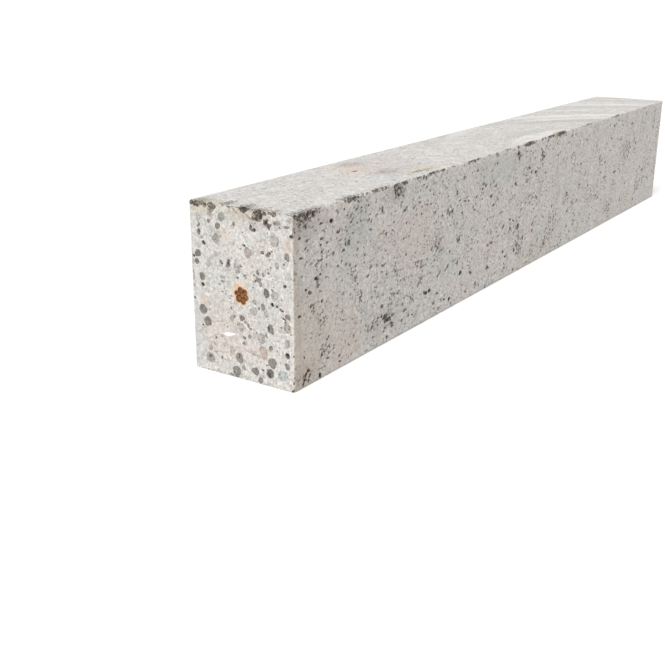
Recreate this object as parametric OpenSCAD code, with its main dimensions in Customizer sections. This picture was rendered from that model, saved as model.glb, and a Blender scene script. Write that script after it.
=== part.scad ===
// Prestressed concrete lintel: one sawn length of a plain rectangular beam,
// cast in a steel mould round a single seven-wire strand.
//
// Millimetres. The beam runs along X and stands on its soffit, as it carries:
// the origin is the middle of the soffit, +Z is up, and the sides face -Y and +Y.

/* [Beam] */
// Length of the beam, sawn from the casting line
beam_length = 900; // [600:150:3600]
// Width of the soffit, which is also the thickness of the wall leaf it carries
beam_width = 100; // [60:5:250]
// Height of the section
beam_height = 140; // [100:5:300]
// Radius that the mould and handling leave on the four long arrises
arris_radius = 2; // [0.5:0.5:10]

/* [Strand] */
// Diameter of each wire wound round the centre wire
outer_wire_d = 4.1; // [2.5:0.1:5.5]
// How much thicker the straight centre wire is than the wires round it
king_wire_extra = 0.2; // [0.1:0.05:0.5]
// How far the strand lies below mid height
strand_drop = 0; // [-25:1:25]
// How far the wires are turned about the strand's axis
strand_turn = 16; // [0:1:59]
// How far the cut wires draw in behind each sawn end when the strand is released
wire_draw_in = 0.4; // [0:0.1:2]

/* [Clearances] */
// Gap left between the outer wires and the concrete that grips them
bond_gap = 0.05; // [0.02:0.01:0.1]
// Gap left between the centre wire and the wires round it
wire_gap = 0.02; // [0.02:0.01:0.1]

/* [Hidden] */
$fn = 48;

// Only six equal wires close round a centre wire of nearly their own size.
outer_wires_count = 6;
king_wire_d = outer_wire_d + king_wire_extra;
// Radius of the circle that the outer wires' centres lie on
lay_radius = (king_wire_d + outer_wire_d) / 2 + wire_gap;

strand_z = beam_height / 2 - strand_drop;
wire_length = beam_length - 2 * wire_draw_in;
// A cut runs past both sawn ends, so that it leaves no skin
cut_length = beam_length + 20;

// Lays a flat section, drawn as across and up, out along the beam's length.
module along_beam(run) {
    rotate([90, 0, 90])
        translate([0, 0, -run / 2])
            linear_extrude(height = run)
                children();
}

// Puts what it is given at the centre of each outer wire.
module at_outer_wires() {
    for (k = [0 : outer_wires_count - 1])
        rotate(strand_turn + k * 360 / outer_wires_count)
            translate([lay_radius, 0])
                children();
}

// The mould's section: a rectangle with its four corners rounded.
module beam_section() {
    flat_w = beam_width - 2 * arris_radius;
    flat_h = beam_height - 2 * arris_radius;
    translate([-flat_w / 2, 0])
        square([flat_w, beam_height]);
    translate([-beam_width / 2, arris_radius])
        square([beam_width, flat_h]);
    for (side = [-1, 1], level = [arris_radius, beam_height - arris_radius])
        translate([side * flat_w / 2, level])
            circle(r = arris_radius);
}

// What the strand leaves in the concrete: a lobe round each outer wire, and the
// middle, where the paste stops short of the valleys between the wires.
module strand_print() {
    circle(r = lay_radius);
    at_outer_wires()
        circle(d = outer_wire_d + 2 * bond_gap);
}

// The concrete, cast in one piece and sawn square at both ends.
module concrete_beam() {
    color("#CBC7C0")
        difference() {
            along_beam(beam_length)
                beam_section();
            along_beam(cut_length)
                translate([0, strand_z])
                    strand_print();
        }
}

// The straight wire in the middle of the strand.
module king_wire() {
    color("#7A553A")
        along_beam(wire_length)
            translate([0, strand_z])
                circle(d = king_wire_d);
}

// The six wires round it, each a piece of its own.
module outer_wires() {
    color("#89664E")
        along_beam(wire_length)
            translate([0, strand_z])
                at_outer_wires()
                    circle(d = outer_wire_d);
}

concrete_beam();
king_wire();
outer_wires();
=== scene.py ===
# %% [markdown]
# # A prestressed concrete lintel
#
# A lintel carries the masonry over a door or a window. This one is a plain rectangular
# beam, 900 mm long, 100 mm wide and 140 mm high. It was cast in a long steel mould
# round one stretched seven-wire strand, and sawn to length when the concrete was hard.
# So it has three kinds of surface: faces that lay against steel, a top that was struck
# off and trowelled, and two sawn ends that show the stones and the strand.
#
# The shape comes as a fixed frame of solids. This file adds what they don't hold: air
# holes, crumbled arrises, stones, stains and rust.

# %% Load the frame
import math

import bpy
import numpy as np
from mathutils import Euler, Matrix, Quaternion, Vector


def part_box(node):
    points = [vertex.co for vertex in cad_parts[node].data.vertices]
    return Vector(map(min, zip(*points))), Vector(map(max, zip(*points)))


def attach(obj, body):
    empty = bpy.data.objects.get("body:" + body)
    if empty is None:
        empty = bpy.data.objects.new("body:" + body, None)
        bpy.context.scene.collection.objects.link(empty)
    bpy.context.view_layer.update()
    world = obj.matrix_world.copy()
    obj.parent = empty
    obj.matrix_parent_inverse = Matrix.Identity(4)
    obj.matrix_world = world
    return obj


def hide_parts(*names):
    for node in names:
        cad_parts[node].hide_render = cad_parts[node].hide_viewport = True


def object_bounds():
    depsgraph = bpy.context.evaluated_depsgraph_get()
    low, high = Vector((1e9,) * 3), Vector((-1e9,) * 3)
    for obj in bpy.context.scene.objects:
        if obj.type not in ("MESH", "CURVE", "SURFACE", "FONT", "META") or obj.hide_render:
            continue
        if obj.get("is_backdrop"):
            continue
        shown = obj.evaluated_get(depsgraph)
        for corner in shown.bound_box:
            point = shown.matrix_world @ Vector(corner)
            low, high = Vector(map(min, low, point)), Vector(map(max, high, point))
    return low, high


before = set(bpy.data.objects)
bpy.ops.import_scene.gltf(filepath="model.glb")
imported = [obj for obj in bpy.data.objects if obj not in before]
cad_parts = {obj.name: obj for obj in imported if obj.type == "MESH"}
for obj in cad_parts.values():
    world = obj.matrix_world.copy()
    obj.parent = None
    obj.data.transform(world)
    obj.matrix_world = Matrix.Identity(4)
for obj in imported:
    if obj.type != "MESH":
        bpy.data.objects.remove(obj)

cad_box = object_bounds()
print("frame nodes:", sorted(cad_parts))

# %% Sizes, in millimetres, taken from the frame
METRE = 1000.0
low, high = (np.array(corner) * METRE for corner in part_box("concrete_beam"))
LENGTH, WIDTH, HEIGHT = high - low
king_low, king_high = (np.array(corner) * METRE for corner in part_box("king_wire"))
STRAND_Z = (king_low[2] + king_high[2]) / 2
DRAW_IN = king_low[0] - low[0]

# The rest of the strand and of the mould, as they are in the solids.
ARRIS_RADIUS = 2.0
WIRE_COUNT = 6
KING_RADIUS = 2.15
WIRE_RADIUS = 2.05
WIRE_GAP = 0.02
LAY_RADIUS = KING_RADIUS + WIRE_RADIUS + WIRE_GAP
WIRE_TURN = math.radians(16)
BOND_GAP = 0.05
print("beam", LENGTH.round(2), WIDTH.round(2), HEIGHT.round(2), "strand axis", STRAND_Z.round(2))

# %% [markdown]
# ## The camera, the light and the floor
#
# The beam is seen from beside its near end and a little above it, so that the end looks
# almost square on and the long side runs away. The lens is set by the field of view.
# A lamp close by would leave the far end dark, so the key light is a wide sun, which is
# as strong everywhere. It stands high on the left and lights the top and the sawn end,
# and the pale room fills the long side. On the top their sum is a little over 1, and at
# 1 a colour renders as it is written.

# %% Colours are shown as they are written
bpy.context.scene.view_settings.view_transform = "Standard"
print("view transform:", bpy.context.scene.view_settings.view_transform)

# %% A helper that puts an object in the scene
def add_object(name, data):
    """A new object with this data, linked to the scene."""
    made = bpy.data.objects.new(name, data)
    bpy.context.scene.collection.objects.link(made)
    return made


# %% Camera
SENSOR = 36.0
# The focal length as a share of the sensor's width.
FOCAL_SHARE = 1.4707
camera_data = bpy.data.cameras.new("studio_camera")
camera_data.sensor_width = SENSOR
camera_data.lens = SENSOR * FOCAL_SHARE
camera_data.clip_start = 0.05
camera_data.clip_end = 100
camera = add_object("studio_camera", camera_data)
bpy.context.scene.camera = camera

# From the bottom corner that the near end shares with the front side, in mm.
from_near_corner = np.array([-559.0, -413.8, 298.5])
yaw, pitch, roll = (math.radians(angle) for angle in (34.1, 19.67, 0.14))
camera.location = (low + from_near_corner) / METRE
camera.rotation_mode = "QUATERNION"
aim = Euler((math.pi / 2 - pitch, 0, yaw - math.pi / 2)).to_quaternion()
camera.rotation_quaternion = aim @ Quaternion((0, 0, 1), roll)
print("camera at", [round(c, 4) for c in camera.location], "lens", round(camera_data.lens, 2))

# %% Key light
KEY_STRENGTH = 2.65
KEY_WIDTH = math.radians(26)
toward_key = Vector((-0.42, -0.13, 0.72))
key_data = bpy.data.lights.new("key_sun", "SUN")
key_data.energy = KEY_STRENGTH
key_data.angle = KEY_WIDTH
key = add_object("key_sun", key_data)
key.rotation_euler = toward_key.to_track_quat("Z", "Y").to_euler()
print("key light", KEY_STRENGTH, "and", round(math.degrees(KEY_WIDTH)), "degrees wide")

# %% Helpers for materials: a node, an empty tree and a colour
def add_node(tree, kind, inputs=(), **settings):
    """Adds a node, sets its properties, and fills each named input or links a socket to it.
    Inputs that share a name, such as the two numbers of a Math node, go by their places."""
    node = tree.nodes.new(kind)
    for name, value in settings.items():
        setattr(node, name, value)
    for name, value in dict(inputs).items():
        if isinstance(value, bpy.types.NodeSocket):
            tree.links.new(value, node.inputs[name])
        else:
            node.inputs[name].default_value = value
    return node


def empty_material(name):
    """A new material, and its tree of nodes with nothing in it yet."""
    material = bpy.data.materials.new(name)
    material.use_nodes = True
    material.node_tree.nodes.clear()
    return material, material.node_tree


def colour(code):
    """An sRGB hex code as linear red, green and blue, with full alpha."""
    shares = [int(code[i:i + 2], 16) / 255 for i in (1, 3, 5)]
    linear = [s / 12.92 if s <= 0.04045 else ((s + 0.055) / 1.055) ** 2.4 for s in shares]
    return (*linear, 1.0)


print("middle grey, made linear:", round(colour("#808080")[0], 3))

# %% World: a pale room for the light, plain white for the eye
ROOM_STRENGTH = 0.45
world = bpy.data.worlds.new("pale_room")
bpy.context.scene.world = world
world.use_nodes = True
tree = world.node_tree
tree.nodes.clear()
path = add_node(tree, "ShaderNodeLightPath")
seen = add_node(tree, "ShaderNodeMath", {0: path.outputs["Is Camera Ray"],
                1: path.outputs["Is Glossy Ray"]}, operation="MAXIMUM")
seen = add_node(tree, "ShaderNodeMath", {0: seen.outputs[0],
                1: path.outputs["Is Transmission Ray"]}, operation="MAXIMUM")
strength = add_node(tree, "ShaderNodeMapRange", {"Value": seen.outputs[0],
                    "To Min": ROOM_STRENGTH, "To Max": 1.0})
light = add_node(tree, "ShaderNodeBackground", {"Color": (1, 1, 1, 1),
                 "Strength": strength.outputs[0]})
add_node(tree, "ShaderNodeOutputWorld", {"Surface": light.outputs[0]})
print("room light", ROOM_STRENGTH)

# %% Floor: matt white, lifted for the eye so that only the beam's shadow shows on it
FLOOR_SIZE = 60.0
FLOOR_LIFT = 0.16
floor_mesh = bpy.data.meshes.new("studio_floor")
half = FLOOR_SIZE / 2
floor_mesh.from_pydata([(-half, -half, 0), (half, -half, 0), (half, half, 0), (-half, half, 0)],
                       [], [(0, 1, 2, 3)])
floor = add_object("studio_floor", floor_mesh)
floor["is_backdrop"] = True

floor_paint, tree = empty_material("matt white studio floor")
path = add_node(tree, "ShaderNodeLightPath")
lift = add_node(tree, "ShaderNodeMath", {0: path.outputs["Is Camera Ray"], 1: FLOOR_LIFT},
                operation="MULTIPLY")
paint = add_node(tree, "ShaderNodeBsdfPrincipled", {"Base Color": colour("#E6E6E5"),
                 "Roughness": 1.0, "Specular IOR Level": 0.0, "Emission Color": (1, 1, 1, 1),
                 "Emission Strength": lift.outputs[0]})
add_node(tree, "ShaderNodeOutputMaterial", {"Surface": paint.outputs[0]})
floor_mesh.materials.append(floor_paint)
print("floor", FLOOR_SIZE, "m square")

# %% [markdown]
# ## The concrete as one closed skin
#
# The beam could be a cube with modifiers, but every hole would then be a boolean. Here
# the skin is one grid of points. One direction of the grid runs round the mould's
# section. The other starts at the strand's hole in the near end, spreads over the sawn
# end, runs the length of the beam, closes over the far end and comes back through the
# hole. The grid joins up both ways, so the skin is closed, and each kind of wear is then
# a depth worked out for all of its points at once.

# %% The section: straight runs joined by quarter circles
# Spacing of the grid's points, in mm.
GRID = 0.62
core_y = WIDTH / 2 - ARRIS_RADIUS
core_z = HEIGHT / 2 - ARRIS_RADIUS
quarter = math.pi / 2 * ARRIS_RADIUS
runs = [0, core_y, quarter, 2 * core_z, quarter, 2 * core_y, quarter, 2 * core_z, quarter, core_y]
KNOTS = np.cumsum(runs)
KNOT_Y = core_y * np.array([0, 1, 1, 1, 1, -1, -1, -1, -1, 0])
KNOT_Z = core_z * np.array([-1, -1, -1, 1, 1, 1, 1, -1, -1, -1]) + HEIGHT / 2
KNOT_ANGLE = np.radians([-90, -90, 0, 0, 90, 90, 180, 180, 270, 270])
GIRTH = KNOTS[-1]
# Where each face begins on the way round, which starts in the middle of the soffit.
BACK_START, TOP_START, FRONT_START = KNOTS[2], KNOTS[4], KNOTS[6]


def section(girth):
    """Points and outward normals of the section at distances round it: a core rectangle's
    corner or side, plus the arris radius along a direction that turns only at the corners."""
    angle = np.interp(girth, KNOTS, KNOT_ANGLE)
    normal = np.stack([np.cos(angle), np.sin(angle)], axis=-1)
    core = np.stack([np.interp(girth, KNOTS, KNOT_Y), np.interp(girth, KNOTS, KNOT_Z)], axis=-1)
    return core + ARRIS_RADIUS * normal, normal


around_count = int(round(GIRTH / GRID))
girth = np.arange(around_count) * GIRTH / around_count
outline, outline_normal = section(girth)
print("girth", round(GIRTH, 1), "mm in", around_count, "steps")

# %% The hole: a lobe round each outer wire
def strand_print(angle):
    """Radius of the strand's hole at an angle: the far side of the lobe that a ray meets,
    or the middle circle where it passes between two lobes."""
    pitch_angle = 2 * math.pi / WIRE_COUNT
    off = (angle - WIRE_TURN + pitch_angle / 2) % pitch_angle - pitch_angle / 2
    lobe = WIRE_RADIUS + BOND_GAP
    reach = np.sqrt(np.maximum(lobe ** 2 - (LAY_RADIUS * np.sin(off)) ** 2, 0))
    return np.maximum(LAY_RADIUS * np.cos(off) * (reach > 0) + reach, LAY_RADIUS)


from_axis = outline - np.array([0, STRAND_Z])
bearing = np.arctan2(from_axis[:, 1], from_axis[:, 0])
hole = strand_print(bearing)[:, None] * from_axis / np.linalg.norm(from_axis, axis=1)[:, None]
hole += np.array([0, STRAND_Z])

# %% The grid's rows: over the near end, along the beam, over the far end, back inside
NEAR, FAR = -LENGTH / 2, LENGTH / 2
# Rows lie this much closer than the average at the near end, and wider at the far end.
CLOSER = 0.2
# On an end the rows fan out, so they can lie wider apart than along the beam.
END_GRID = 1.3 * GRID
end_rows = int(round(math.hypot(WIDTH, HEIGHT) / 2 / END_GRID))
spread = np.linspace(0, 1, end_rows, endpoint=False)
long_rows = int(round(LENGTH / GRID)) + 1
share = np.linspace(0, 1, long_rows)
stations = LENGTH * ((1 - CLOSER) * share + CLOSER * share ** 2)
# Four rows are enough for the hole, which nobody sees into.
inside_steps = np.array([FAR - 3, FAR - 12, NEAR + 12, NEAR + 3])

row_x = np.concatenate([np.full(end_rows, NEAR), NEAR + stations, np.full(end_rows, FAR),
                        inside_steps])
row_spread = np.concatenate([spread, np.ones(long_rows), spread[::-1],
                             np.zeros(len(inside_steps))])
rows = len(row_x)
skin = np.empty((rows, around_count, 3))
skin[..., 0] = row_x[:, None]
skin[..., 1:] = hole[None] + row_spread[:, None, None] * (outline - hole)[None]

near_rows = slice(0, end_rows)
long_part = slice(end_rows, end_rows + long_rows)
far_rows = slice(end_rows + long_rows, 2 * end_rows + long_rows)
print("grid", rows, "x", around_count, "=", rows * around_count, "points")

# %% [markdown]
# ## Wear, as depths under the skin
#
# Concrete that sets against steel keeps round air holes, mostly 1 to 3 mm across, in
# loose trails where bubbles crept up the mould. Its arrises are weak: they come away in
# crumbs, and a saw plucks the top edge of an end worst of all. Sculpting each hole by
# hand or by boolean would be slow, and a displacement texture can't undercut or follow a
# list. So each hole is a small bowl pressed into a sheet of depths, and each crumb is a
# ball that pushes the skin out of its way. A second sheet keeps how dark each hole looks:
# the dirt that it holds, more or less of it, and painted shade, darker than the soft
# light leaves in so small a hole. Holes under 1 mm are left to the materials.

# %% Smooth noise
LATTICE_NUMBERS = 4096
LATTICE_PRIMES = np.array([73856093, 19349663, 83492791])


def cloud(points, size, seed):
    """Noise from 0 to 1: a random number at each corner of a cubic lattice of the given
    spacing, picked by the corner's steps times three primes, and blended across each cell
    with an S-shaped weight in each direction."""
    numbers = np.random.default_rng(seed).random(LATTICE_NUMBERS)
    cells = points / size
    corner = np.floor(cells).astype(np.int64)
    share = cells - corner
    share = share * share * (3 - 2 * share)
    total = np.zeros(points.shape[:-1])
    for step in np.ndindex(2, 2, 2):
        at = (corner + np.array(step)) * LATTICE_PRIMES
        pick = at[..., 0] ^ at[..., 1] ^ at[..., 2]
        weight = np.where(np.array(step), share, 1 - share).prod(axis=-1)
        total += weight * numbers[pick & (LATTICE_NUMBERS - 1)]
    return total


wobble = cloud(skin, size=1.4, seed=1)
crumble = 0.6 * cloud(skin, size=3.2, seed=2) + 0.4 * cloud(skin, size=1.1, seed=3)
print("noise from", wobble.min().round(2), "to", wobble.max().round(2))

# %% One bowl
# A rim lies between 0.72 and 1.28 of its radius, moved by the noise.
RIM_LOW, RIM_SWING = 0.72, 0.56
# A hole is as dark as it gets wherever it is deeper than 1 / 1.6 of its full depth.
DIRT_AND_SHADE_RISE = 1.6


def bowl_at(p, q, noise):
    """Half a ball of radius 1 over the places p and q from its middle, its rim pulled in
    and out by noise: the root of 1 - (p * p + q * q) / rim ** 2, or 0 outside."""
    rim = RIM_LOW + RIM_SWING * noise
    return np.sqrt(np.maximum(1 - (p * p + q * q) / rim ** 2, 0))


print("bowl at its middle and half way out:", bowl_at(np.array([0, 0.5]), 0, 0.5).round(2))

# %% The long faces as one unrolled sheet of depths, and one of darkness
rng = np.random.default_rng(7)
step_round = GIRTH / around_count
depth = np.zeros((long_rows, around_count))
# How dark each hole looks: the dirt in it, and painted shade.
hole_dirt_and_shade = np.zeros((long_rows, around_count))
# The steps of the grid that the widest bowl reaches to each side.
BOWL_STEPS = 7 if GRID < 0.9 else 5
# A bowl is a little shallower than its radius.
SINK = 0.8


def press_bowls(along, around, radius, flatness, turn, dark):
    """Presses a bowl for each entry: half an ellipsoid of the given radius lengthwise, and
    flatness times that round the section, turned. Depths don't add up, the deepest wins.
    along is from the near end, around is the way round, and dark is how dark it looks."""
    window = np.arange(-BOWL_STEPS, BOWL_STEPS + 1)
    row = np.searchsorted(stations, along)[:, None, None] + window[None, :, None]
    row = np.clip(row, 0, long_rows - 1)
    column = np.round(around / step_round).astype(int)[:, None, None] + window[None, None, :]
    gone_along = stations[row] - along[:, None, None]
    gone_round = column * step_round - around[:, None, None]
    cos, sin = np.cos(turn)[:, None, None], np.sin(turn)[:, None, None]
    p = (gone_along * cos + gone_round * sin) / radius[:, None, None]
    q = (gone_round * cos - gone_along * sin) / (radius * flatness)[:, None, None]
    row, column = np.broadcast_arrays(row, column % around_count)
    bowl = bowl_at(p, q, wobble[long_part][row, column])
    sink = (SINK * radius * np.sqrt(flatness))[:, None, None]
    np.maximum.at(depth, (row, column), sink * bowl)
    np.maximum.at(hole_dirt_and_shade, (row, column), dark[:, None, None] * np.minimum(DIRT_AND_SHADE_RISE * bowl, 1))


print("sheet of depths:", depth.shape)

# %% Random air holes on the long faces
# Places are tried at several times the number of holes, and more are kept where holes
# crowd: in upright trails 9 mm wide and 60 mm tall, inside patches of 45 mm.
TRIES = 4
TRAIL_WIDTH, TRAIL_HEIGHT, PATCH_SIZE = 9, 60, 45
# A place where they crowd this many times as much as on average is always kept.
SURE_CROWD = 2.2
# How near to a sawn end a random hole may lie, in mm.
CLEAR_OF_END = 3
MM2_PER_DM2 = 10_000


def dirt_and_shade_levels(count):
    """How dark random holes look, from 0 to 1, as dirt and painted shade: 0.35, plus 0.6
    times a power of a random number, which makes them mostly middling and a few nearly black."""
    return 0.35 + 0.6 * rng.random(count) ** 1.7


def scatter_bowls(per_dm2, start, run, middle, spread, trails, sizes=(0.5, 2.2)):
    """Random air holes on one face, from start and for run mm round the section. Their
    sizes follow a log-normal law with this middle radius and spread. The chance of a place
    is 1 - trails, plus trails times the product of two noises over its average of a
    quarter, so trails is how far the holes gather."""
    count = int(per_dm2 * run * LENGTH / MM2_PER_DM2)
    along = rng.uniform(CLEAR_OF_END, LENGTH - CLEAR_OF_END, count * TRIES)
    around = start + rng.uniform(0, run, count * TRIES)
    face = np.full_like(along, start)
    trail = cloud(np.stack([along / TRAIL_WIDTH, around / TRAIL_HEIGHT, face], axis=-1), 1.0, 11)
    patch = cloud(np.stack([along / PATCH_SIZE, around / PATCH_SIZE, face], axis=-1), 1.0, 12)
    crowd = (1 - trails) + trails * (trail * patch) / 0.25
    kept = np.flatnonzero(rng.random(count * TRIES) * SURE_CROWD < crowd)[:count]
    radius = np.clip(middle * np.exp(spread * rng.standard_normal(len(kept))), *sizes)
    # Most bubbles end up lower than they are long, and a little turned.
    press_bowls(along[kept], around[kept], radius, rng.uniform(0.42, 0.85, len(kept)),
                rng.uniform(-0.6, 0.4, len(kept)), dirt_and_shade_levels(len(kept)))
    return len(kept)


side_run = KNOTS[7] - KNOTS[6]
top_run = KNOTS[5] - KNOTS[4]
# Holes in a square decimetre, start, run, middle radius, spread, trails, and at times the
# least and the greatest radius. The rows are the front, the back, the top, and the soffit
# in halves, since the way round starts there.
LONG_FACES = [
    (80, FRONT_START, side_run, 1.3, 0.42, 0.5, (0.6, 3.0)),
    (90, BACK_START, side_run, 1.25, 0.42, 0.5, (0.6, 3.0)),
    (14, TOP_START, top_run, 0.6, 0.3, 0.3, (0.5, 1.1)),
    (60, 0, core_y, 0.8, 0.4, 0.5),
    (60, KNOTS[8] + quarter / 2, core_y, 0.8, 0.4, 0.5),
]
print("air holes on the long faces:", sum(scatter_bowls(*face) for face in LONG_FACES))

# %% Air holes that mark the long side
def front_at(level):
    """The way round the section to a height on the long front side."""
    return FRONT_START + HEIGHT - ARRIS_RADIUS - level


def cluster(along, level, wide, tall, count, size):
    """A patch of air holes round one place on the front side: normal laws for the places,
    so that it is densest in its middle, and a log-normal law for the sizes."""
    radius = np.clip(size * np.exp(0.35 * rng.standard_normal(count)), 0.45, 2.4)
    press_bowls(along + wide / 2 * rng.standard_normal(count),
                front_at(level + tall / 2 * rng.standard_normal(count)), radius,
                rng.uniform(0.5, 1.0, count), rng.uniform(-0.8, 0.8, count), dirt_and_shade_levels(count))


# Along, height, radius, flatness, turn, darkness.
MARKED_HOLES = np.array([
    (51, 126, 2.6, 0.75, 0.2, 1.0), (69, 132, 1.3, 0.9, 0.0, 0.8), (106, 117, 1.8, 0.5, 0.9, 0.75),
    (109, 115, 1.6, 0.5, -0.9, 0.75), (126, 121, 1.2, 2.3, 0.0, 0.8), (141, 115, 1.1, 0.8, 0, 0.6),
    (147, 134, 1.5, 1.8, 0.0, 0.9), (148, 129, 1.3, 2.4, 0.0, 0.9), (153, 128.5, 1.6, 0.8, 0, 0.9),
    (164, 113, 1.5, 0.8, 0.0, 0.7), (60, 131, 1.8, 0.5, 0.8, 0.5), (276, 31, 3.0, 0.8, 0.3, 1.0),
    (299, 25, 2.1, 0.8, 0.0, 0.9), (337, 22, 2.3, 0.7, 0.0, 0.9), (207, 28, 2.8, 0.6, 0.0, 1.0),
    (213, 29, 2.6, 0.6, 0.0, 1.0), (35, 4, 2.0, 1.0, 0.0, 0.9), (398, 131, 1.9, 1.7, 0.0, 0.9),
    (402, 126, 1.4, 1.8, 0.2, 0.8), (175, 15, 1.9, 0.8, 0.0, 0.9), (244, 12, 2.0, 0.8, 0.2, 0.9),
    (60, 88, 1.6, 0.8, 0.0, 0.8), (36, 110, 1.5, 0.8, 0.0, 0.7), (47, 103, 1.6, 0.7, 0.0, 0.6),
    (38, 104, 1.6, 0.8, 0.0, 0.8), (18, 101, 1.3, 0.7, 0.4, 0.6), (66, 91, 1.3, 0.8, 0.0, 0.7),
    (150, 62, 1.7, 0.8, 0.0, 0.8), (262, 113, 1.5, 1.6, 0.2, 0.8), (248, 95, 1.4, 1.8, -0.1, 0.8),
    (254, 97, 1.4, 1.5, 0.1, 0.7), (463, 124, 1.5, 1.4, 0.2, 0.8), (470, 118, 1.4, 1.3, 0, 0.7),
    (12, 2.5, 1.4, 1.2, 0.5, 0.8), (14, 6, 1.6, 1.4, 0.5, 0.9), (16, 10, 1.7, 1.4, 0.5, 0.9),
    (18, 13, 1.4, 1.2, 0.5, 0.8), (19, 4, 1.4, 1.3, 0.5, 0.8), (21, 8, 1.5, 1.4, 0.5, 0.8),
])
along, level, *shape = MARKED_HOLES.T
press_bowls(along, front_at(level), *shape)

# Patches: along, height, width, height of the patch, count, middle radius.
PATCHES = [
    (14, 133, 17, 8, 62, 0.85), (138, 22, 9, 6, 24, 1.3), (120, 25, 8, 5, 15, 1.0),
    (109, 21, 6, 4, 9, 1.0), (26, 61, 4, 7, 9, 1.0), (40, 50, 6, 9, 14, 0.9),
    (33, 84, 4, 14, 15, 0.9), (46, 22, 10, 12, 20, 0.9), (154, 133, 8, 6, 22, 0.8),
    (88, 126, 9, 9, 16, 0.9), (225, 62, 16, 14, 28, 0.8), (72, 112, 8, 16, 12, 0.8),
    (205, 80, 14, 12, 22, 0.8), (300, 60, 20, 20, 36, 0.8), (360, 90, 14, 22, 28, 0.8),
    (430, 110, 14, 12, 22, 0.8), (480, 70, 22, 24, 40, 0.8), (15, 8, 8, 6, 14, 0.8),
]
for along, level, wide, tall, count, size in PATCHES:
    cluster(along, level, wide, tall, count, size)

# On the top: along, across from the front side, radius, flatness, turn, darkness.
TOP_HOLES = np.array([
    (174, 58.5, 1.6, 0.9, 0, 0.9), (193, 82, 0.9, 0.9, 0, 0.5), (207, 77, 0.9, 0.9, 0, 0.5),
    (138, 67, 1.0, 1.0, 0, 0.5), (103, 64, 1.1, 0.8, 0, 0.6), (200, 41, 1.0, 0.9, 0, 0.5),
    (194, 30, 0.8, 1.0, 0, 0.5), (172, 17, 0.9, 1.0, 0, 0.5), (206, 14, 1.9, 0.6, -0.4, 0.8),
    (211, 11, 1.9, 0.6, -0.5, 0.8), (216, 8, 2.0, 0.6, -0.4, 0.8), (222, 6.5, 1.6, 0.6, 0, 0.7),
    (12, 30, 0.9, 1.0, 0, 0.5), (24, 52, 0.8, 1.0, 0, 0.4), (35, 78, 0.9, 0.8, 0, 0.5),
])
along, across, *shape = TOP_HOLES.T
press_bowls(along, TOP_START + WIDTH - ARRIS_RADIUS - across, *shape)
print("marked holes:", len(MARKED_HOLES) + len(TOP_HOLES), "and patches:", len(PATCHES))

# %% Bowls on the sawn ends
def end_bowls(part, holes):
    """Depth and darkness over one end: for each hole (across, up, radius, flatness, darkness)
    the deepest of half ellipsoids, with the same noisy rim as on the long faces."""
    across = skin[part][..., 1] - low[1]
    up = skin[part][..., 2]
    deepest = np.zeros(across.shape)
    darkest = np.zeros(across.shape)
    for middle, level, radius, flatness, dark in holes:
        p = (across - middle) / radius
        q = (up - level) / (radius * flatness)
        bowl = bowl_at(p, q, wobble[part])
        deepest = np.maximum(deepest, radius * bowl)
        darkest = np.maximum(darkest, dark * np.minimum(DIRT_AND_SHADE_RISE * bowl, 1))
    return deepest, darkest


def random_holes(count, middle, spread):
    """Air holes cut through by the saw, anywhere on an end, with a log-normal law for
    their sizes. The columns are as in the list below."""
    return np.stack([rng.uniform(2, WIDTH - 2, count), rng.uniform(2, HEIGHT - 2, count),
                     np.clip(middle * np.exp(spread * rng.standard_normal(count)), 0.4, 1.6),
                     rng.uniform(0.8, 1.4, count), dirt_and_shade_levels(count)], axis=-1)


# Across from the front side, height, radius, flatness, darkness.
NEAR_END_HOLES = [
    (89.3, 72.6, 1.7, 1.0, 1.0), (87, 107, 1.8, 1.0, 0.9), (97.6, 95, 1.2, 1.0, 1.0),
    (20, 68, 1.8, 0.9, 1.0), (15.7, 67.3, 1.3, 0.9, 0.9), (12.4, 65.7, 0.9, 1.0, 0.8),
    (10, 64.7, 0.9, 1.0, 0.9), (98.6, 60, 1.1, 1.0, 0.9), (7.6, 84.7, 1.3, 1.0, 0.6),
    (45.5, 110.5, 0.9, 1.2, 0.8), (49, 93.5, 0.8, 1.0, 0.7), (53, 83.5, 0.8, 1.0, 0.8),
    (47.5, 35.5, 0.9, 1.0, 0.9), (77.5, 30, 0.9, 1.0, 0.9), (2, 123.5, 1.4, 1.2, 0.9),
    (60, 68, 0.7, 0.8, 0.6), (57.5, 51.5, 0.8, 1.4, 0.8), (36, 124, 1.6, 1.2, 0.5),
    (39, 126.5, 0.9, 1.6, 0.9), (24.5, 130, 1.6, 1.5, 0.7), (22, 127, 1.2, 1.0, 0.7),
    (17, 131, 1.3, 1.0, 0.6), (12, 129, 1.0, 1.0, 0.6), (8, 56, 1.0, 0.8, 0.7),
    (24, 48, 1.2, 1.6, 0.7), (6, 30, 1.6, 1.0, 0.8), (24, 9, 1.4, 1.8, 0.5),
    (68.5, 93, 1.0, 0.9, 0.7), (62, 94, 1.1, 1.3, 0.7), (28, 107, 0.9, 1.0, 0.6),
    (21.5, 108, 1.0, 1.0, 0.7), (54, 20, 0.8, 1.0, 0.9), (84, 13.5, 0.8, 1.0, 0.9),
    (33, 90, 0.9, 1.2, 0.6), (36, 84, 0.8, 1.6, 0.8), (47, 86, 1.0, 0.7, 0.7),
    (45, 85, 0.7, 0.8, 0.6), (12, 51, 0.9, 0.7, 0.8), (91, 116, 0.7, 2.2, 0.7),
    (89, 111, 0.6, 2.4, 0.6), (67, 82, 0.7, 1.0, 0.6), (60, 4, 0.8, 1.0, 0.9),
    (30, 12, 0.9, 0.8, 0.8),
]
END_HOLES = 70
near_depth, near_dirt_and_shade = end_bowls(near_rows, np.concatenate([NEAR_END_HOLES,
                                                             random_holes(END_HOLES, 0.5, 0.3)]))
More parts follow.
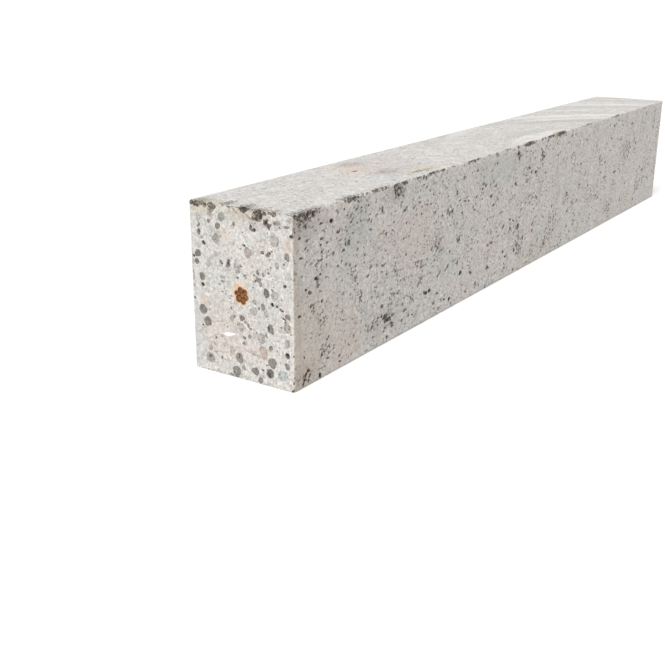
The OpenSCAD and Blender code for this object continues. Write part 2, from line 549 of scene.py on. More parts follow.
far_depth, far_dirt_and_shade = end_bowls(far_rows, random_holes(2 * END_HOLES, 0.6, 0.45))
print("holes on the near end:", len(NEAR_END_HOLES) + END_HOLES)

# %% Press everything in: bowls, and the slow waves of a mould and a saw
WAVE_DEPTH = 0.25
# How dark holes and deep crumbs look: their dirt, and painted shade in them.
hollow_dirt_and_shade = np.zeros(skin.shape[:2])
hollow_dirt_and_shade[long_part], hollow_dirt_and_shade[near_rows], hollow_dirt_and_shade[far_rows] = hole_dirt_and_shade, near_dirt_and_shade, far_dirt_and_shade
wave = WAVE_DEPTH * cloud(skin, size=55.0, seed=4)
worn = skin.copy()
worn[long_part, :, 1:] -= (depth + wave[long_part])[..., None] * outline_normal[None]
worn[near_rows, :, 0] += near_depth + wave[near_rows]
worn[far_rows, :, 0] -= far_depth + wave[far_rows]
print("deepest bowl", depth.max().round(2), "mm; deepest wave", wave.max().round(2), "mm")

# %% Ragged rims of the sawn ends
# Every rim loses this much, up to so much more by noise, and up to so much more again in
# the band along the top, where the disc breaks out.
LEAST_BITE, NOISE_BITE, TOP_BITE = 0.15, 0.9, 1.3
TOP_BAND = 3.0
from_end = LENGTH / 2 - np.abs(skin[..., 0])
from_rim = np.zeros(skin.shape[:2])
from_rim[near_rows] = (1 - spread)[:, None] * np.linalg.norm(outline - hole, axis=1)[None]
from_rim[far_rows] = from_rim[near_rows][::-1]
upper = np.clip((skin[..., 2] - (HEIGHT - TOP_BAND)) / TOP_BAND, 0, 1)
ragged = LEAST_BITE + NOISE_BITE * crumble ** 2 + TOP_BITE * upper * crumble
# Half of the loss is taken along the beam and half across it, and none inside the hole.
bite = np.maximum(ragged - from_end - from_rim, 0) / 2
bite[far_rows.stop:] = 0
worn[..., 0] -= np.sign(skin[..., 0]) * bite
worn[..., 1:] -= bite[..., None] * outline_normal[None]
print("widest ragged rim", ragged.max().round(2), "mm")

# %% A crumb is a ball that pushes the skin away
# The ball's radius is 0.6 to 1.35 of what is asked for, by noise. Points are filed by
# where they lay at first, so they are looked for a little further out than that.
BALL_LOW, BALL_SWING = 0.6, 0.75
BALL_REACH, FILE_REACH = 1.3, 1.6
NO_DIVIDE = 0.01
flat = worn.reshape(-1, 3)
before = flat.copy()
flat_crumble = crumble.reshape(-1)
by_length = np.argsort(flat[:, 0], kind="stable")
lengthwise = flat[by_length, 0]


def knock_out(centre, radius):
    """Pushes each point inside a rough ball straight away from its centre, out to the
    ball's surface. Noise makes the ball lumpy."""
    window = np.array([-FILE_REACH, FILE_REACH]) * radius
    first, last = np.searchsorted(lengthwise, centre[0] + window)
    close = by_length[first:last]
    close = close[(np.abs(flat[close] - centre) < BALL_REACH * radius).all(axis=1)]
    away = flat[close] - centre
    distance = np.linalg.norm(away, axis=1)
    reach = radius * (BALL_LOW + BALL_SWING * flat_crumble[close])
    hit = distance < reach
    scale = (reach[hit] / np.maximum(distance[hit], NO_DIVIDE))[:, None]
    flat[close[hit]] = centre + away[hit] * scale


def chip(place, out, radius, set_back=0.45):
    """A crumb at a place: the ball's centre sits off it, along out, by set_back times its
    radius, so that a larger share leaves a shallower crumb."""
    knock_out(np.array(place) + set_back * radius * np.array(out), radius)


print("points filed by length:", len(lengthwise))

# %% Random crumbs
FRONT, BACK = -WIDTH / 2, WIDTH / 2
UPRIGHT_CRUMBS, LEVEL_CRUMBS, SOFFIT_CRUMBS, TOP_CRUMBS = 22, 20, 90, 70
# How near to a corner of the beam a random crumb may lie, in mm.
CLEAR = 2
# Half way between two of the axes, a direction goes about this far along each.
HALF_WAY = 0.7
chips_made = 0
for end, way in ((NEAR, -1), (FAR, 1)):
    for side, out in ((FRONT, -1), (BACK, 1)):
        for level in rng.uniform(CLEAR, HEIGHT - CLEAR, UPRIGHT_CRUMBS):
            chip((end, side, level), (way * HALF_WAY, out * HALF_WAY, 0), rng.uniform(0.5, 1.3))
            chips_made += 1
    for level, up in ((0, -1), (HEIGHT, 1)):
        for across in rng.uniform(FRONT + CLEAR, BACK - CLEAR, LEVEL_CRUMBS):
            chip((end, across, level), (way * HALF_WAY, 0, up * HALF_WAY), rng.uniform(0.7, 2.0))
            chips_made += 1
for side, out in ((FRONT, -1), (BACK, 1)):
    for level, up, count in ((0, -1, SOFFIT_CRUMBS), (HEIGHT, 1, TOP_CRUMBS)):
        for along in rng.uniform(NEAR + CLEAR, FAR - CLEAR, count):
            radius = min(0.7 * math.exp(0.5 * rng.standard_normal()), 3.0) + ARRIS_RADIUS
            chip((along, side, level), (0, out * HALF_WAY, up * HALF_WAY), radius, set_back=0.6)
            chips_made += 1
print("random crumbs:", chips_made)

# %% The crumbs that mark this beam
# On the near end's top edge: across from the front side, height, radius.
TOP_EDGE_CHIPS = [
    (93, 140, 3.2), (88, 139, 3.0), (84, 137, 2.6), (79, 138, 3.4), (75, 137, 2.2), (60, 141, 2.2),
    (57, 140, 1.6), (46, 139, 3.4), (44, 141, 2.2), (33, 138, 4.4), (31, 135, 3.4), (26, 138, 2.0),
    (21, 139, 1.8), (17, 138.5, 2.6), (38, 140, 2.6), (51, 141, 1.8), (68, 141, 2.0), (98, 138, 2.6),
]
for across, level, radius in TOP_EDGE_CHIPS:
    chip((NEAR, FRONT + across, level), (-1, 0, 0), radius, set_back=0.35)

# Along the top arris of the front side: along, height, radius. Most of them bite the side.
TOP_ARRIS_CHIPS = [
    (4, 138, 2.8), (7, 136, 2.6), (11, 137.5, 3.0), (15, 138, 3.4), (17, 134, 2.4), (20, 137, 3.0),
    (24, 138, 3.0), (27, 136, 3.2), (31, 138.5, 2.6), (35, 139, 2.0), (70, 139, 2.4), (76, 138, 2.8),
    (79, 137.5, 2.2), (84, 138, 3.0), (89, 138.5, 2.4), (118, 139, 2.0), (127, 138.5, 2.6),
    (131, 138.5, 2.2), (146, 137, 2.8), (150, 138, 2.4), (157, 138, 2.2), (164, 138, 2.4),
    (186, 138, 2.4), (196, 138, 2.8), (200, 136, 2.4), (207, 138.5, 2.6), (214, 139, 2.8),
    (221, 139.5, 2.4), (284, 138, 2.6), (297, 138, 2.4), (398, 137.5, 2.6), (421, 138.5, 3.2),
    (427, 138, 3.2), (433, 138, 3.0), (438, 139, 2.6), (462, 138.5, 2.6), (470, 138.5, 2.8),
    (478, 138.5, 2.8), (486, 138.5, 2.6), (510, 139, 3.6), (516, 138.5, 4.2), (522, 138.5, 4.0),
    (528, 139, 3.4),
]
for along, level, radius in TOP_ARRIS_CHIPS:
    chip((NEAR + along, FRONT, level), (0, -1, 0), radius)

# Down the front upright edge of the near end, and at its foot: height, radius.
UPRIGHT_CHIPS = [(123.5, 1.8), (96, 1.0), (76, 0.9), (61, 1.1), (30, 1.4), (8, 1.6), (1, 3.2)]
for level, radius in UPRIGHT_CHIPS:
    chip((NEAR, FRONT, level), (-HALF_WAY, -HALF_WAY, 0), radius, set_back=0.3)
print("marked crumbs:", len(TOP_EDGE_CHIPS) + len(TOP_ARRIS_CHIPS) + len(UPRIGHT_CHIPS))

# %% How much was lost where, and how deep
# Skin is fully broken once it has lost 0.5 mm. Past a loss of 0.8 mm the place also
# darkens as a hole does, with dirt and painted shade, by up to 0.7, and noise breaks the darkness
# up.
BROKEN_LOSS = 0.5
DARK_FROM, DARK_RUN, DARKEST = 0.8, 2.4, 0.7
lost = np.linalg.norm(flat - before, axis=1).reshape(crumble.shape) + bite
broken = np.clip(lost / BROKEN_LOSS, 0, 1)
deep_crumb_dirt_and_shade = np.clip((lost - DARK_FROM) / DARK_RUN, 0, DARKEST)
hollow_dirt_and_shade = np.maximum(hollow_dirt_and_shade, deep_crumb_dirt_and_shade * (0.4 + 0.9 * crumble))
worn = np.clip(flat.reshape(worn.shape), low, high)
print("broken share of the skin:", (broken > 0.5).mean().round(4))

# %% Grid to mesh, then thinned where it is flat
TRIANGLE_LIMIT = 196_000
SHARP_FROM = math.radians(32)


def torus_mesh(name, points):
    """A mesh of quads over a grid of points that joins up in both directions."""
    count, around = points.shape[:2]
    here = np.arange(count * around).reshape(count, around)
    below = np.roll(here, -1, axis=0)
    quads = np.stack([here, np.roll(here, -1, axis=1), np.roll(below, -1, axis=1), below], axis=-1)
    mesh = bpy.data.meshes.new(name)
    mesh.vertices.add(count * around)
    mesh.vertices.foreach_set("co", (points / METRE).ravel().astype(np.float32))
    mesh.loops.add(quads.size)
    mesh.loops.foreach_set("vertex_index", quads.ravel().astype(np.int32))
    mesh.polygons.add(count * around)
    mesh.polygons.foreach_set("loop_start", np.arange(0, quads.size, 4, dtype=np.int32))
    mesh.update(calc_edges=True)
    return mesh


dense = torus_mesh("dense_concrete", worn)
for name, values in (("hollow_dirt_and_shade", hollow_dirt_and_shade), ("broken", broken)):
    layer = dense.attributes.new(name, "FLOAT", "POINT")
    layer.data.foreach_set("value", values.ravel().astype(np.float32))

draft = add_object("dense_concrete", dense)
thinner = draft.modifiers.new("thin", "DECIMATE")
# The ratio is of triangles, and each quad counts as two.
thinner.ratio = TRIANGLE_LIMIT / (2 * len(dense.polygons))
bpy.context.view_layer.update()
thinned = draft.evaluated_get(bpy.context.evaluated_depsgraph_get())
concrete_mesh = bpy.data.meshes.new_from_object(thinned)
concrete_mesh.name = "concrete_skin"
bpy.data.objects.remove(draft)
bpy.data.meshes.remove(dense)

# Thinning can move a point a hair past the solid's faces, so the points are held to them.
vertices = np.empty(len(concrete_mesh.vertices) * 3)
concrete_mesh.vertices.foreach_get("co", vertices)
vertices = np.clip(vertices.reshape(-1, 3), low / METRE, high / METRE)
concrete_mesh.vertices.foreach_set("co", vertices.ravel())

concrete = add_object("cast_concrete", concrete_mesh)
concrete_mesh.shade_smooth()
concrete_mesh.set_sharp_from_angle(angle=SHARP_FROM)
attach(concrete, "root")
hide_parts("concrete_beam")
print("triangles:", sum(len(p.vertices) - 2 for p in concrete_mesh.polygons))

# %% [markdown]
# ## A flat map for the skin
#
# A mesh that is going to be baked needs a map without overlaps. The beam unrolls by
# itself: four long strips, two ends and a narrow strip for the hole, each seen straight
# on. Every face goes to the strip that it faces best, among those that it lies close to.
# The sheet is as long as the beam, so the two ends have room to be drawn four times as
# wide as they are, which keeps their stones sharp.

# %% Which side each face belongs to
polygon_count = len(concrete_mesh.polygons)
centres = np.empty(polygon_count * 3)
normals = np.empty(polygon_count * 3)
concrete_mesh.polygons.foreach_get("center", centres)
concrete_mesh.polygons.foreach_get("normal", normals)
centres = centres.reshape(-1, 3) * METRE
normals = normals.reshape(-1, 3)

SIDES = ["near end", "far end", "front", "back", "soffit", "top"]
# A face counts as close to a side within this many mm, which covers the deepest crumb.
CLOSE = 7.0
# Any face points at a side by -1 or more, so this is never the best.
NEVER = -2.0
middle = (low + high) / 2
half_size = (high - low) / 2
facing = np.stack([way * normals[:, axis] for axis in range(3) for way in (-1, 1)])
inset = np.stack([half_size[axis] - way * (centres - middle)[:, axis]
                  for axis in range(3) for way in (-1, 1)])
side = np.where(inset < CLOSE, facing, NEVER).argmax(axis=0)
# The hole's wall lies this near the axis, and half a millimetre covers its wear. Its
# faces hardly look along the beam, unlike those of the end round it.
HOLE_REACH = LAY_RADIUS + WIRE_RADIUS + 0.5
off_axis = np.hypot(centres[:, 1], centres[:, 2] - STRAND_Z)
in_hole = (off_axis < HOLE_REACH) & (np.abs(normals[:, 0]) < 0.5)
side[in_hole] = len(SIDES)
print({name: int((side == k).sum()) for k, name in enumerate(SIDES + ["hole"])})

# %% The map itself
# The gap between strips in mm, how much wider an end is drawn, and the hole's strip in mm.
GAP = 4.0
END_STRETCH = 4.2
HOLE_STRIP = 12.0
corner_vertex = np.empty(len(concrete_mesh.loops), dtype=np.int32)
concrete_mesh.loops.foreach_get("vertex_index", corner_vertex)
totals = np.empty(polygon_count, dtype=np.int32)
concrete_mesh.polygons.foreach_get("loop_total", totals)
corner_side = np.repeat(side, totals)
x, y, z = (vertices[corner_vertex] * METRE - low).T
turned = np.arctan2(z - STRAND_Z, y - WIDTH / 2) / math.pi

# Where each strip starts, going up the sheet, and then each corner's place on it, in mm.
# Every side has its own formula, and the number of the side picks it.
ends, front, back, soffit, top, hole_strip = np.cumsum(
    [GAP, HEIGHT + GAP, HEIGHT + GAP, HEIGHT + GAP, WIDTH + GAP, WIDTH + GAP])
map_x = np.choose(corner_side, [y * END_STRETCH, (y + WIDTH + 2 * GAP) * END_STRETCH,
                                x, x, x, x, x]) + GAP
map_y = np.choose(corner_side, [z + ends, z + ends, z + front, z + back, y + soffit, y + top,
                                hole_strip + HOLE_STRIP / 2 * (1 + turned)])
sheet = np.array([LENGTH + 2 * GAP, hole_strip + HOLE_STRIP + GAP])
# The export looks for a map of this name to bake through.
flat_map = concrete_mesh.uv_layers.new(name="OFBake")
flat_map.data.foreach_set("uv", (np.stack([map_x, map_y], axis=-1) / sheet).ravel())
reached = np.array([map_x.max(), map_y.max()]) / sheet
print("sheet", sheet.round(), "used to", reached.round(3))

# %% [markdown]
# ## Concrete: Portland cement, sand and river gravel
#
# The paste sets grey-white, with faint pink and green clouds and thousands of pores. The
# steel, the trowel and the saw each leave their own surface in it. All of it stays matt,
# with no coat. Stains could be painted on an image, but an image fits one size of beam
# only. So every colour is laid in layers, in mm: clouds of noise, balls of a Voronoi
# pattern, and ellipsoids at chosen places. One function lays each kind of layer. The same
# cement is under the three finishes, and each adds its own.

# %% Which surface has which finish
CAST, TROWELLED, SAWN = range(3)
FINISHES = {"front": CAST, "back": CAST, "soffit": CAST, "top": TROWELLED, "near end": SAWN,
            "far end": SAWN, "hole": SAWN}
finish_of = np.array([FINISHES[name] for name in SIDES + ["hole"]], dtype=np.int32)
concrete_mesh.polygons.foreach_set("material_index", finish_of[side])
print("faces cast, trowelled and sawn:", np.bincount(finish_of[side]))

# %% Clouds of colour
# An eased range stays between its ends by itself, and saves the node that a clamp costs.
EASED = {"interpolation_type": "SMOOTHSTEP", "clamp": False}
# Each layer reads its noise this many cells further on, so that no two layers match.
CLOUD_SHIFT = 7.3
# The levels of the wider noise where a group starts and is full.
GROUP_START, GROUP_FULL = 0.36, 0.6


def lay_colour(tree, shown, value, start, full, share, over):
    """Lays one colour over another by a value: not at all up to start, then more and more,
    and by its share from full on."""
    amount = add_node(tree, "ShaderNodeMapRange", {"Value": value, "From Min": start,
                      "From Max": full, "To Max": share}, **EASED)
    # A Mix node has sockets for every kind of data. Those for colours are inputs 6 and 7
    # and output 2.
    return add_node(tree, "ShaderNodeMix", {0: amount.outputs[0], 6: shown, 7: over},
                    data_type="RGBA").outputs[2]


def lay_clouds(tree, place, shown, clouds):
    """Lays clouds of colour over a colour. Each is its size in mm, or its sizes along X, Y
    and Z, its detail, the noise levels where it starts and is full, its share and its
    colour. The size in mm of the groups that it gathers in may follow."""
    for number, (sizes, detail, start, full, share, code, *groups) in enumerate(clouds):
        cell = add_node(tree, "ShaderNodeMapping", {"Vector": place,
                        "Location": (number * CLOUD_SHIFT,) * 3,
                        "Scale": (1 / np.broadcast_to(sizes, 3)).tolist()})
        noise = add_node(tree, "ShaderNodeTexNoise", {"Vector": cell.outputs[0], "Scale": 1.0,
                         "Detail": detail})
        for group_size in groups:
            wide = add_node(tree, "ShaderNodeTexNoise", {"Vector": place,
                            "Scale": 1 / group_size, "Detail": 2.0})
            share = add_node(tree, "ShaderNodeMapRange", {"Value": wide.outputs[0],
                             "From Min": GROUP_START, "From Max": GROUP_FULL,
                             "To Max": share}, **EASED).outputs[0]
        shown = lay_colour(tree, shown, noise.outputs[0], start, full, share, colour(code))
    return shown


print("cloud layers lie", CLOUD_SHIFT, "cells apart")

# %% Specks, for sand, stones and pores
SPECK_SHIFT = 3.7
# A speck's edge fades over this many mm.
SPECK_EDGE = 0.3


def lay_specks(tree, place, shown, specks):
    """Lays round specks over a colour, each a ball in a cell of a Voronoi pattern that the
    surface cuts. Each entry is the cell in mm, the largest radius in mm, the share of
    cells that hold a speck, its opacity and its two colours. Also gives their coverage."""
    covered = 0.0
    for number, (cell_size, radius, share, opacity, code, other) in enumerate(specks):
        cell = add_node(tree, "ShaderNodeMapping", {"Vector": place,
                        "Location": (number * SPECK_SHIFT,) * 3, "Scale": (1 / cell_size,) * 3})
        balls = add_node(tree, "ShaderNodeTexVoronoi", {"Vector": cell.outputs[0], "Scale": 1.0})
        # Each cell has a random colour. Its red says whether the cell holds a speck and how
        # large it is, and its green says the speck's tone.
        chance = add_node(tree, "ShaderNodeSeparateColor", {0: balls.outputs["Color"]})
        reach = add_node(tree, "ShaderNodeMapRange", {"Value": chance.outputs[0],
                         "From Min": 1 - share, "From Max": 1.0, "To Max": radius / cell_size},
                         clamp=False)
        inside = add_node(tree, "ShaderNodeMath", {0: reach.outputs[0],
                          1: balls.outputs["Distance"]}, operation="SUBTRACT")
        amount = add_node(tree, "ShaderNodeMapRange", {"Value": inside.outputs[0],
                          "From Max": SPECK_EDGE / cell_size, "To Max": opacity}, **EASED)
        tone = add_node(tree, "ShaderNodeMix", {0: chance.outputs[1], 6: colour(code),
                        7: colour(other)}, data_type="RGBA")
        shown = add_node(tree, "ShaderNodeMix", {0: amount.outputs[0], 6: shown,
                         7: tone.outputs[2]}, data_type="RGBA").outputs[2]
        covered = add_node(tree, "ShaderNodeMath", {0: covered, 1: amount.outputs[0]},
                           operation="MAXIMUM").outputs[0]
    return shown, covered


print("the edge of a speck fades over", SPECK_EDGE, "mm")

# %% Places on each face
def on_side(rows, deep=12):
    """Rows of along, height, length and tall as centres and full sizes on the long side.
    The rest of a row, such as its opacity and its colour, follows as it is."""
    return [((NEAR + along, FRONT, level), (length, deep, tall), *rest)
            for along, level, length, tall, *rest in rows]


def on_top(rows, deep=12):
    """The same on the top, from rows of along, across from the front side, length and
    width."""
    return [((NEAR + along, FRONT + across, HEIGHT), (length, wide, deep), *rest)
            for along, across, length, wide, *rest in rows]


def on_end(rows, deep=20):
    """The same on the near end, from rows of across from the front side, height, width
    and tall."""
    return [((NEAR, FRONT + across, level), (deep, wide, tall), *rest)
            for across, level, wide, tall, *rest in rows]


print("a place on the side:", on_side([(10, 20, 5, 3, "opacity", "colour")])[0])

# %% Patches of colour at chosen places
def closeness(tree, place, centre, reach, lean=0.0):
    """How close places are to a centre: 1 there, and evenly less out to 0 at an ellipsoid
    with these half sizes, which may lean about X, in degrees."""
    own = add_node(tree, "ShaderNodeMapping", {"Vector": place, "Location": centre,
                   "Rotation": (math.radians(lean), 0, 0), "Scale": reach},
                   vector_type="TEXTURE")
    return add_node(tree, "ShaderNodeTexGradient", {"Vector": own.outputs[0]},
                    gradient_type="SPHERICAL").outputs["Fac"]


# A patch's closeness reaches out to twice its radius, so at its edge it is a half.
AT_EDGE = 0.5


def lay_patches(tree, place, shown, patches, soft, ragged=0.0):
    """Lays an ellipsoid of colour for each entry: its centre, its full sizes, its opacity
    and its colour, and if it leans, its lean about X in degrees. soft is the part of its
    radius over which it fades, and ragged is how far fine noise moves its edge, as a part
    of its radius. Also gives closeness: 1 at a centre, 0.5 at an ellipsoid's edge, 0 at
    twice its radius."""
    if ragged:
        tear = add_node(tree, "ShaderNodeTexNoise", {"Vector": place, "Scale": 0.5,
                        "Detail": 4.0})
        tear = add_node(tree, "ShaderNodeMapRange", {"Value": tear.outputs[0],
                        "From Min": 0.25, "From Max": 0.75, "To Min": -ragged / 2,
                        "To Max": ragged / 2}, clamp=False).outputs[0]
    closest = 0.0
    for centre, sizes, opacity, code, *lean in patches:
        close = closeness(tree, place, centre, sizes, *lean)
        if ragged:
            close = add_node(tree, "ShaderNodeMath", {0: close, 1: tear}).outputs[0]
        shown = lay_colour(tree, shown, close, AT_EDGE - soft / 4, AT_EDGE + soft / 4, opacity,
                           colour(code))
        closest = add_node(tree, "ShaderNodeMath", {0: closest, 1: close},
                           operation="MAXIMUM").outputs[0]
    return shown, closest


print("closeness at an edge:", AT_EDGE)

# %% Ragged spots that crowd at chosen places
# Spots are drawn out a little along the beam, and the trails that they form are upright.
SPOT_SIZE = (3.6, 2.6, 2.6)
TRAIL_SIZE = (15, 15, 34)
# How much the trails and the chosen places add to the noise of the spots.
TRAIL_SHARE = 0.4
CROWD_SHARE = 0.22
# A spot's edge is this much of the noise's height wide.
SPOT_EDGE = 0.055


def lay_spots(tree, place, shown, patches, tones):
    """Lays ragged spots wherever fine noise, plus upright trails, plus closeness to a
    patch's centre times its strength, is high enough. So the spots of a patch, given by
    its centre, its full sizes and its strength, are bigger and closer in its middle.
    tones gives where a spot starts, its opacity and its colour."""
    crowd = 0.0
    for centre, sizes, strength in patches:
        close = closeness(tree, place, centre, [size / 2 for size in sizes])
        close = add_node(tree, "ShaderNodeMath", {0: close, 1: strength}, operation="MULTIPLY")
        crowd = add_node(tree, "ShaderNodeMath", {0: crowd, 1: close.outputs[0]},
                         operation="MAXIMUM").outputs[0]
    upright = add_node(tree, "ShaderNodeMapping", {"Vector": place,
                       "Scale": [1 / size for size in TRAIL_SIZE]})
    trails = add_node(tree, "ShaderNodeTexNoise", {"Vector": upright.outputs[0],
                      "Scale": 1.0, "Detail": 2.0})
    drawn_out = add_node(tree, "ShaderNodeMapping", {"Vector": place,
                         "Scale": [1 / size for size in SPOT_SIZE]})
    fine = add_node(tree, "ShaderNodeTexNoise", {"Vector": drawn_out.outputs[0],
                    "Scale": 1.0, "Detail": 2.5})
    level = add_node(tree, "ShaderNodeMath", {0: trails.outputs[0], 1: TRAIL_SHARE,
                     2: fine.outputs[0]}, operation="MULTIPLY_ADD")
    level = add_node(tree, "ShaderNodeMath", {0: crowd, 1: CROWD_SHARE,
                     2: level.outputs[0]}, operation="MULTIPLY_ADD")
    for start, opacity, code in tones:
        shown = lay_colour(tree, shown, level.outputs[0], start, start + SPOT_EDGE, opacity,
                           colour(code))
    return shown


print("spots of", SPOT_SIZE, "mm in trails of", TRAIL_SIZE, "mm")

# %% The start and the end that the three finishes share
def places_in_mm(tree):
    """Object coordinates, in mm."""
    metres = add_node(tree, "ShaderNodeTexCoord").outputs["Object"]
    return add_node(tree, "ShaderNodeMapping", {"Vector": metres,
                    "Scale": (METRE,) * 3}).outputs[0]


def bend(tree, place, scale, detail, reach):
    """Places moved about by noise of 1 / scale mm, by up to half of reach in mm."""
    noise = add_node(tree, "ShaderNodeTexNoise", {"Vector": place, "Scale": scale,
                     "Detail": detail})
    moved = add_node(tree, "ShaderNodeVectorMath", {0: noise.outputs["Color"], 1: (reach,) * 3,
                     2: place}, operation="MULTIPLY_ADD")
    return add_node(tree, "ShaderNodeMapping", {"Vector": moved.outputs[0],
                    "Location": (-reach / 2,) * 3}).outputs[0]


def start_finish(name):
    """A new material and its empty tree, with places in mm, and the same places bent by
    noise, so that nothing drawn with them is quite round or straight."""
    material, tree = empty_material(name)
    place = places_in_mm(tree)
    return material, tree, place, bend(tree, place, scale=0.28, detail=3.0, reach=3.2)


# Pores and grit are finer than the mesh, so they are bump: pores 0.4 mm deep, grit in
# grains of about 0.9 mm.
PORE_DEPTH = 0.4
GRIT_SCALE = 1.1
# Dirt and painted shade start and are full where brokenness, from 0 to 1, plus twice a noise
# comes to this. So they cover most of a broken place and hardly any of a whole one.
DIRT_AND_SHADE_START, DIRT_AND_SHADE_FULL, DIRT_AND_SHADE_SHARE = 1.45, 1.75, 0.85


def end_finish(tree, place, shown, pores, grit, roughness):
    """Darkens the broken places and the air holes with dirt and painted shade, adds pores and grit
    to the shape, and ends in a matt shader. pores is where the pores are, from 0 to 1, and grit is
    the grit's depth in mm. The IOR stays at 1.5, near that of cement paste and most sand."""
    broken_part = add_node(tree, "ShaderNodeAttribute", attribute_name="broken")
    crumbs = add_node(tree, "ShaderNodeTexNoise", {"Vector": place, "Scale": 0.5, "Detail": 5.0})
    # The red and the green of a coloured noise serve as two noises.
    tones = add_node(tree, "ShaderNodeSeparateColor", {0: crumbs.outputs["Color"]})
    # A broken place: tan, and dark by noise, as dirt and painted shade.
    broken_dirt_and_shade = lay_colour(tree, colour("#A3988A"), tones.outputs[0], 0.38, 0.56, 1.0,
                         colour("#4C453D"))
    torn = add_node(tree, "ShaderNodeMath", {0: tones.outputs[1], 1: 2.0,
                    2: broken_part.outputs["Fac"]}, operation="MULTIPLY_ADD")
    shown = lay_colour(tree, shown, torn.outputs[0], DIRT_AND_SHADE_START, DIRT_AND_SHADE_FULL, DIRT_AND_SHADE_SHARE,
                       broken_dirt_and_shade)
    # Holes and deep crumbs darken: their dirt, and painted shade in them.
    hollow_part = add_node(tree, "ShaderNodeAttribute", attribute_name="hollow_dirt_and_shade")
    shown = add_node(tree, "ShaderNodeMix", {0: hollow_part.outputs["Fac"], 6: shown,
                     7: colour("#38312B")}, data_type="RGBA").outputs[2]
    grains = add_node(tree, "ShaderNodeTexNoise", {"Vector": place, "Scale": GRIT_SCALE,
                     "Detail": 4.0})
    relief = add_node(tree, "ShaderNodeBump", {"Height": grains.outputs[0], "Strength": 0.6,
                      "Distance": grit / METRE})
    relief = add_node(tree, "ShaderNodeBump", {"Height": pores, "Strength": 0.7,
                      "Distance": PORE_DEPTH / METRE, "Normal": relief.outputs[0]}, invert=True)
    shader = add_node(tree, "ShaderNodeBsdfPrincipled", {"Base Color": shown,
                      "Roughness": roughness, "Normal": relief.outputs[0]})
    add_node(tree, "ShaderNodeOutputMaterial", {"Surface": shader.outputs[0]})


print("pores", PORE_DEPTH, "mm deep, and grit in grains of", round(1 / GRIT_SCALE, 1), "mm")

# %% What all the concrete shares: cement in clouds of 60 to 1.6 mm, and sand
CEMENT_CLOUDS = [
    (60, 2, 0.46, 0.62, 0.35, "#C0C5C3"), (38, 2, 0.50, 0.66, 0.28, "#D0BFB6"),
    (14, 3, 0.50, 0.66, 0.40, "#DDDAD6"), (7, 4, 0.52, 0.68, 0.45, "#ACA7A2"),
    (5.6, 2, 0.52, 0.64, 0.30, "#C9BDA9"), (5.0, 2, 0.52, 0.64, 0.35, "#B9C3C1"),
    (3.2, 3, 0.50, 0.64, 0.46, "#A19C97"), (2.8, 2, 0.57, 0.67, 0.40, "#F6F4F1"),
    (2.2, 3, 0.52, 0.66, 0.45, "#EFECE8"), (1.6, 2, 0.54, 0.66, 0.30, "#9C978F"),
]
# Real sand runs from 0.1 to 2 mm. Only its coarse end shows at this size, so it is drawn.
SAND = [(1.9, 0.8, 0.35, 0.35, "#A59F97", "#DDD8D0"), (2.6, 0.7, 0.4, 0.6, "#6D675F", "#8B857D")]

# The upright arris beside the near end has a pale line of painted highlight, where the rounded arris
# catches the light, with a dull tan band behind it.
ARRIS_HIGHLIGHT_AND_TAN_BAND = [((NEAR + 4, FRONT, 60), (13, 8, 170), 0.35, "#B1A190"),
          ((NEAR, FRONT, 66), (2.8, 2.8, 140), 0.6, "#E6DDD1")]
print("layers of cement:", len(CEMENT_CLOUDS), "and of sand:", len(SAND))

# %% [markdown]
# ## The sides and the soffit, cast against steel
#
# A steel mould is smooth and oiled, so the paste comes out with a matt skin: grey clouds
# where water gathered, tinted stains, and dark spots at the air holes and crumbs, which
# are their dirt and painted shade. Noise alone could draw the spots, but they crowd along
# the arris and in trails. So the noise is lifted at chosen places, and the largest marks
# are placed one by one.

# %% Dark spots on the long side
# Where they crowd: along, height, length, tall, strength.
CROWDS = [
    (16, 137, 40, 16, 1.5), (75, 125, 22, 15, 0.8), (74, 107, 15, 16, 0.6), (92, 132, 30, 22, 0.6),
    (33, 88, 13, 22, 0.45), (38, 52, 26, 28, 0.5), (30, 64, 18, 14, 0.55), (95, 55, 6, 18, 0.8),
    (117, 53, 17, 20, 0.6), (112, 93, 22, 16, 0.6), (153, 135, 26, 20, 1.0), (150, 64, 22, 26, 0.7),
    (152, 42, 22, 7, 0.9), (118, 24, 26, 16, 0.8), (45, 24, 20, 26, 0.45), (14, 9, 28, 18, 0.75),
    (170, 52, 34, 9, 0.7), (195, 60, 26, 14, 0.6), (224, 70, 34, 26, 0.75), (249, 97, 26, 20, 0.8),
    (263, 110, 14, 20, 0.7), (362, 64, 26, 18, 0.7), (438, 76, 34, 22, 0.7), (414, 30, 44, 30, 0.6),
    (466, 120, 16, 24, 0.7), (500, 32, 60, 40, 0.5), (484, 14, 34, 22, 0.7), (380, 16, 34, 26, 0.6),
    (78, 139.5, 30, 7, 2.2), (55, 140, 22, 4, 1.6), (96, 139.5, 22, 5, 1.3),
    (119, 139.5, 38, 6, 1.9), (186, 139, 20, 6, 1.4), (202, 137, 14, 8, 1.2),
    (216, 139.5, 28, 5, 1.8), (232, 139, 14, 4, 1.6), (289, 138.5, 26, 5, 2.0),
    (303, 139, 10, 4, 1.6), (344, 138, 14, 7, 1.0), (427, 138.5, 44, 8, 2.4),
    (487, 139, 38, 5, 2.2), (516, 138.5, 36, 9, 2.6), (252, 139, 16, 4, 1.2),
    (330, 139, 14, 4, 1.2), (163, 138, 14, 6, 1.3), (370, 139, 30, 3, 1.4), (600, 139, 60, 4, 1.2),
    (700, 139, 50, 5, 1.4), (640, 50, 60, 40, 0.6), (760, 90, 60, 50, 0.7), (820, 30, 50, 40, 0.7),
    (700, 20, 40, 24, 0.7),
]
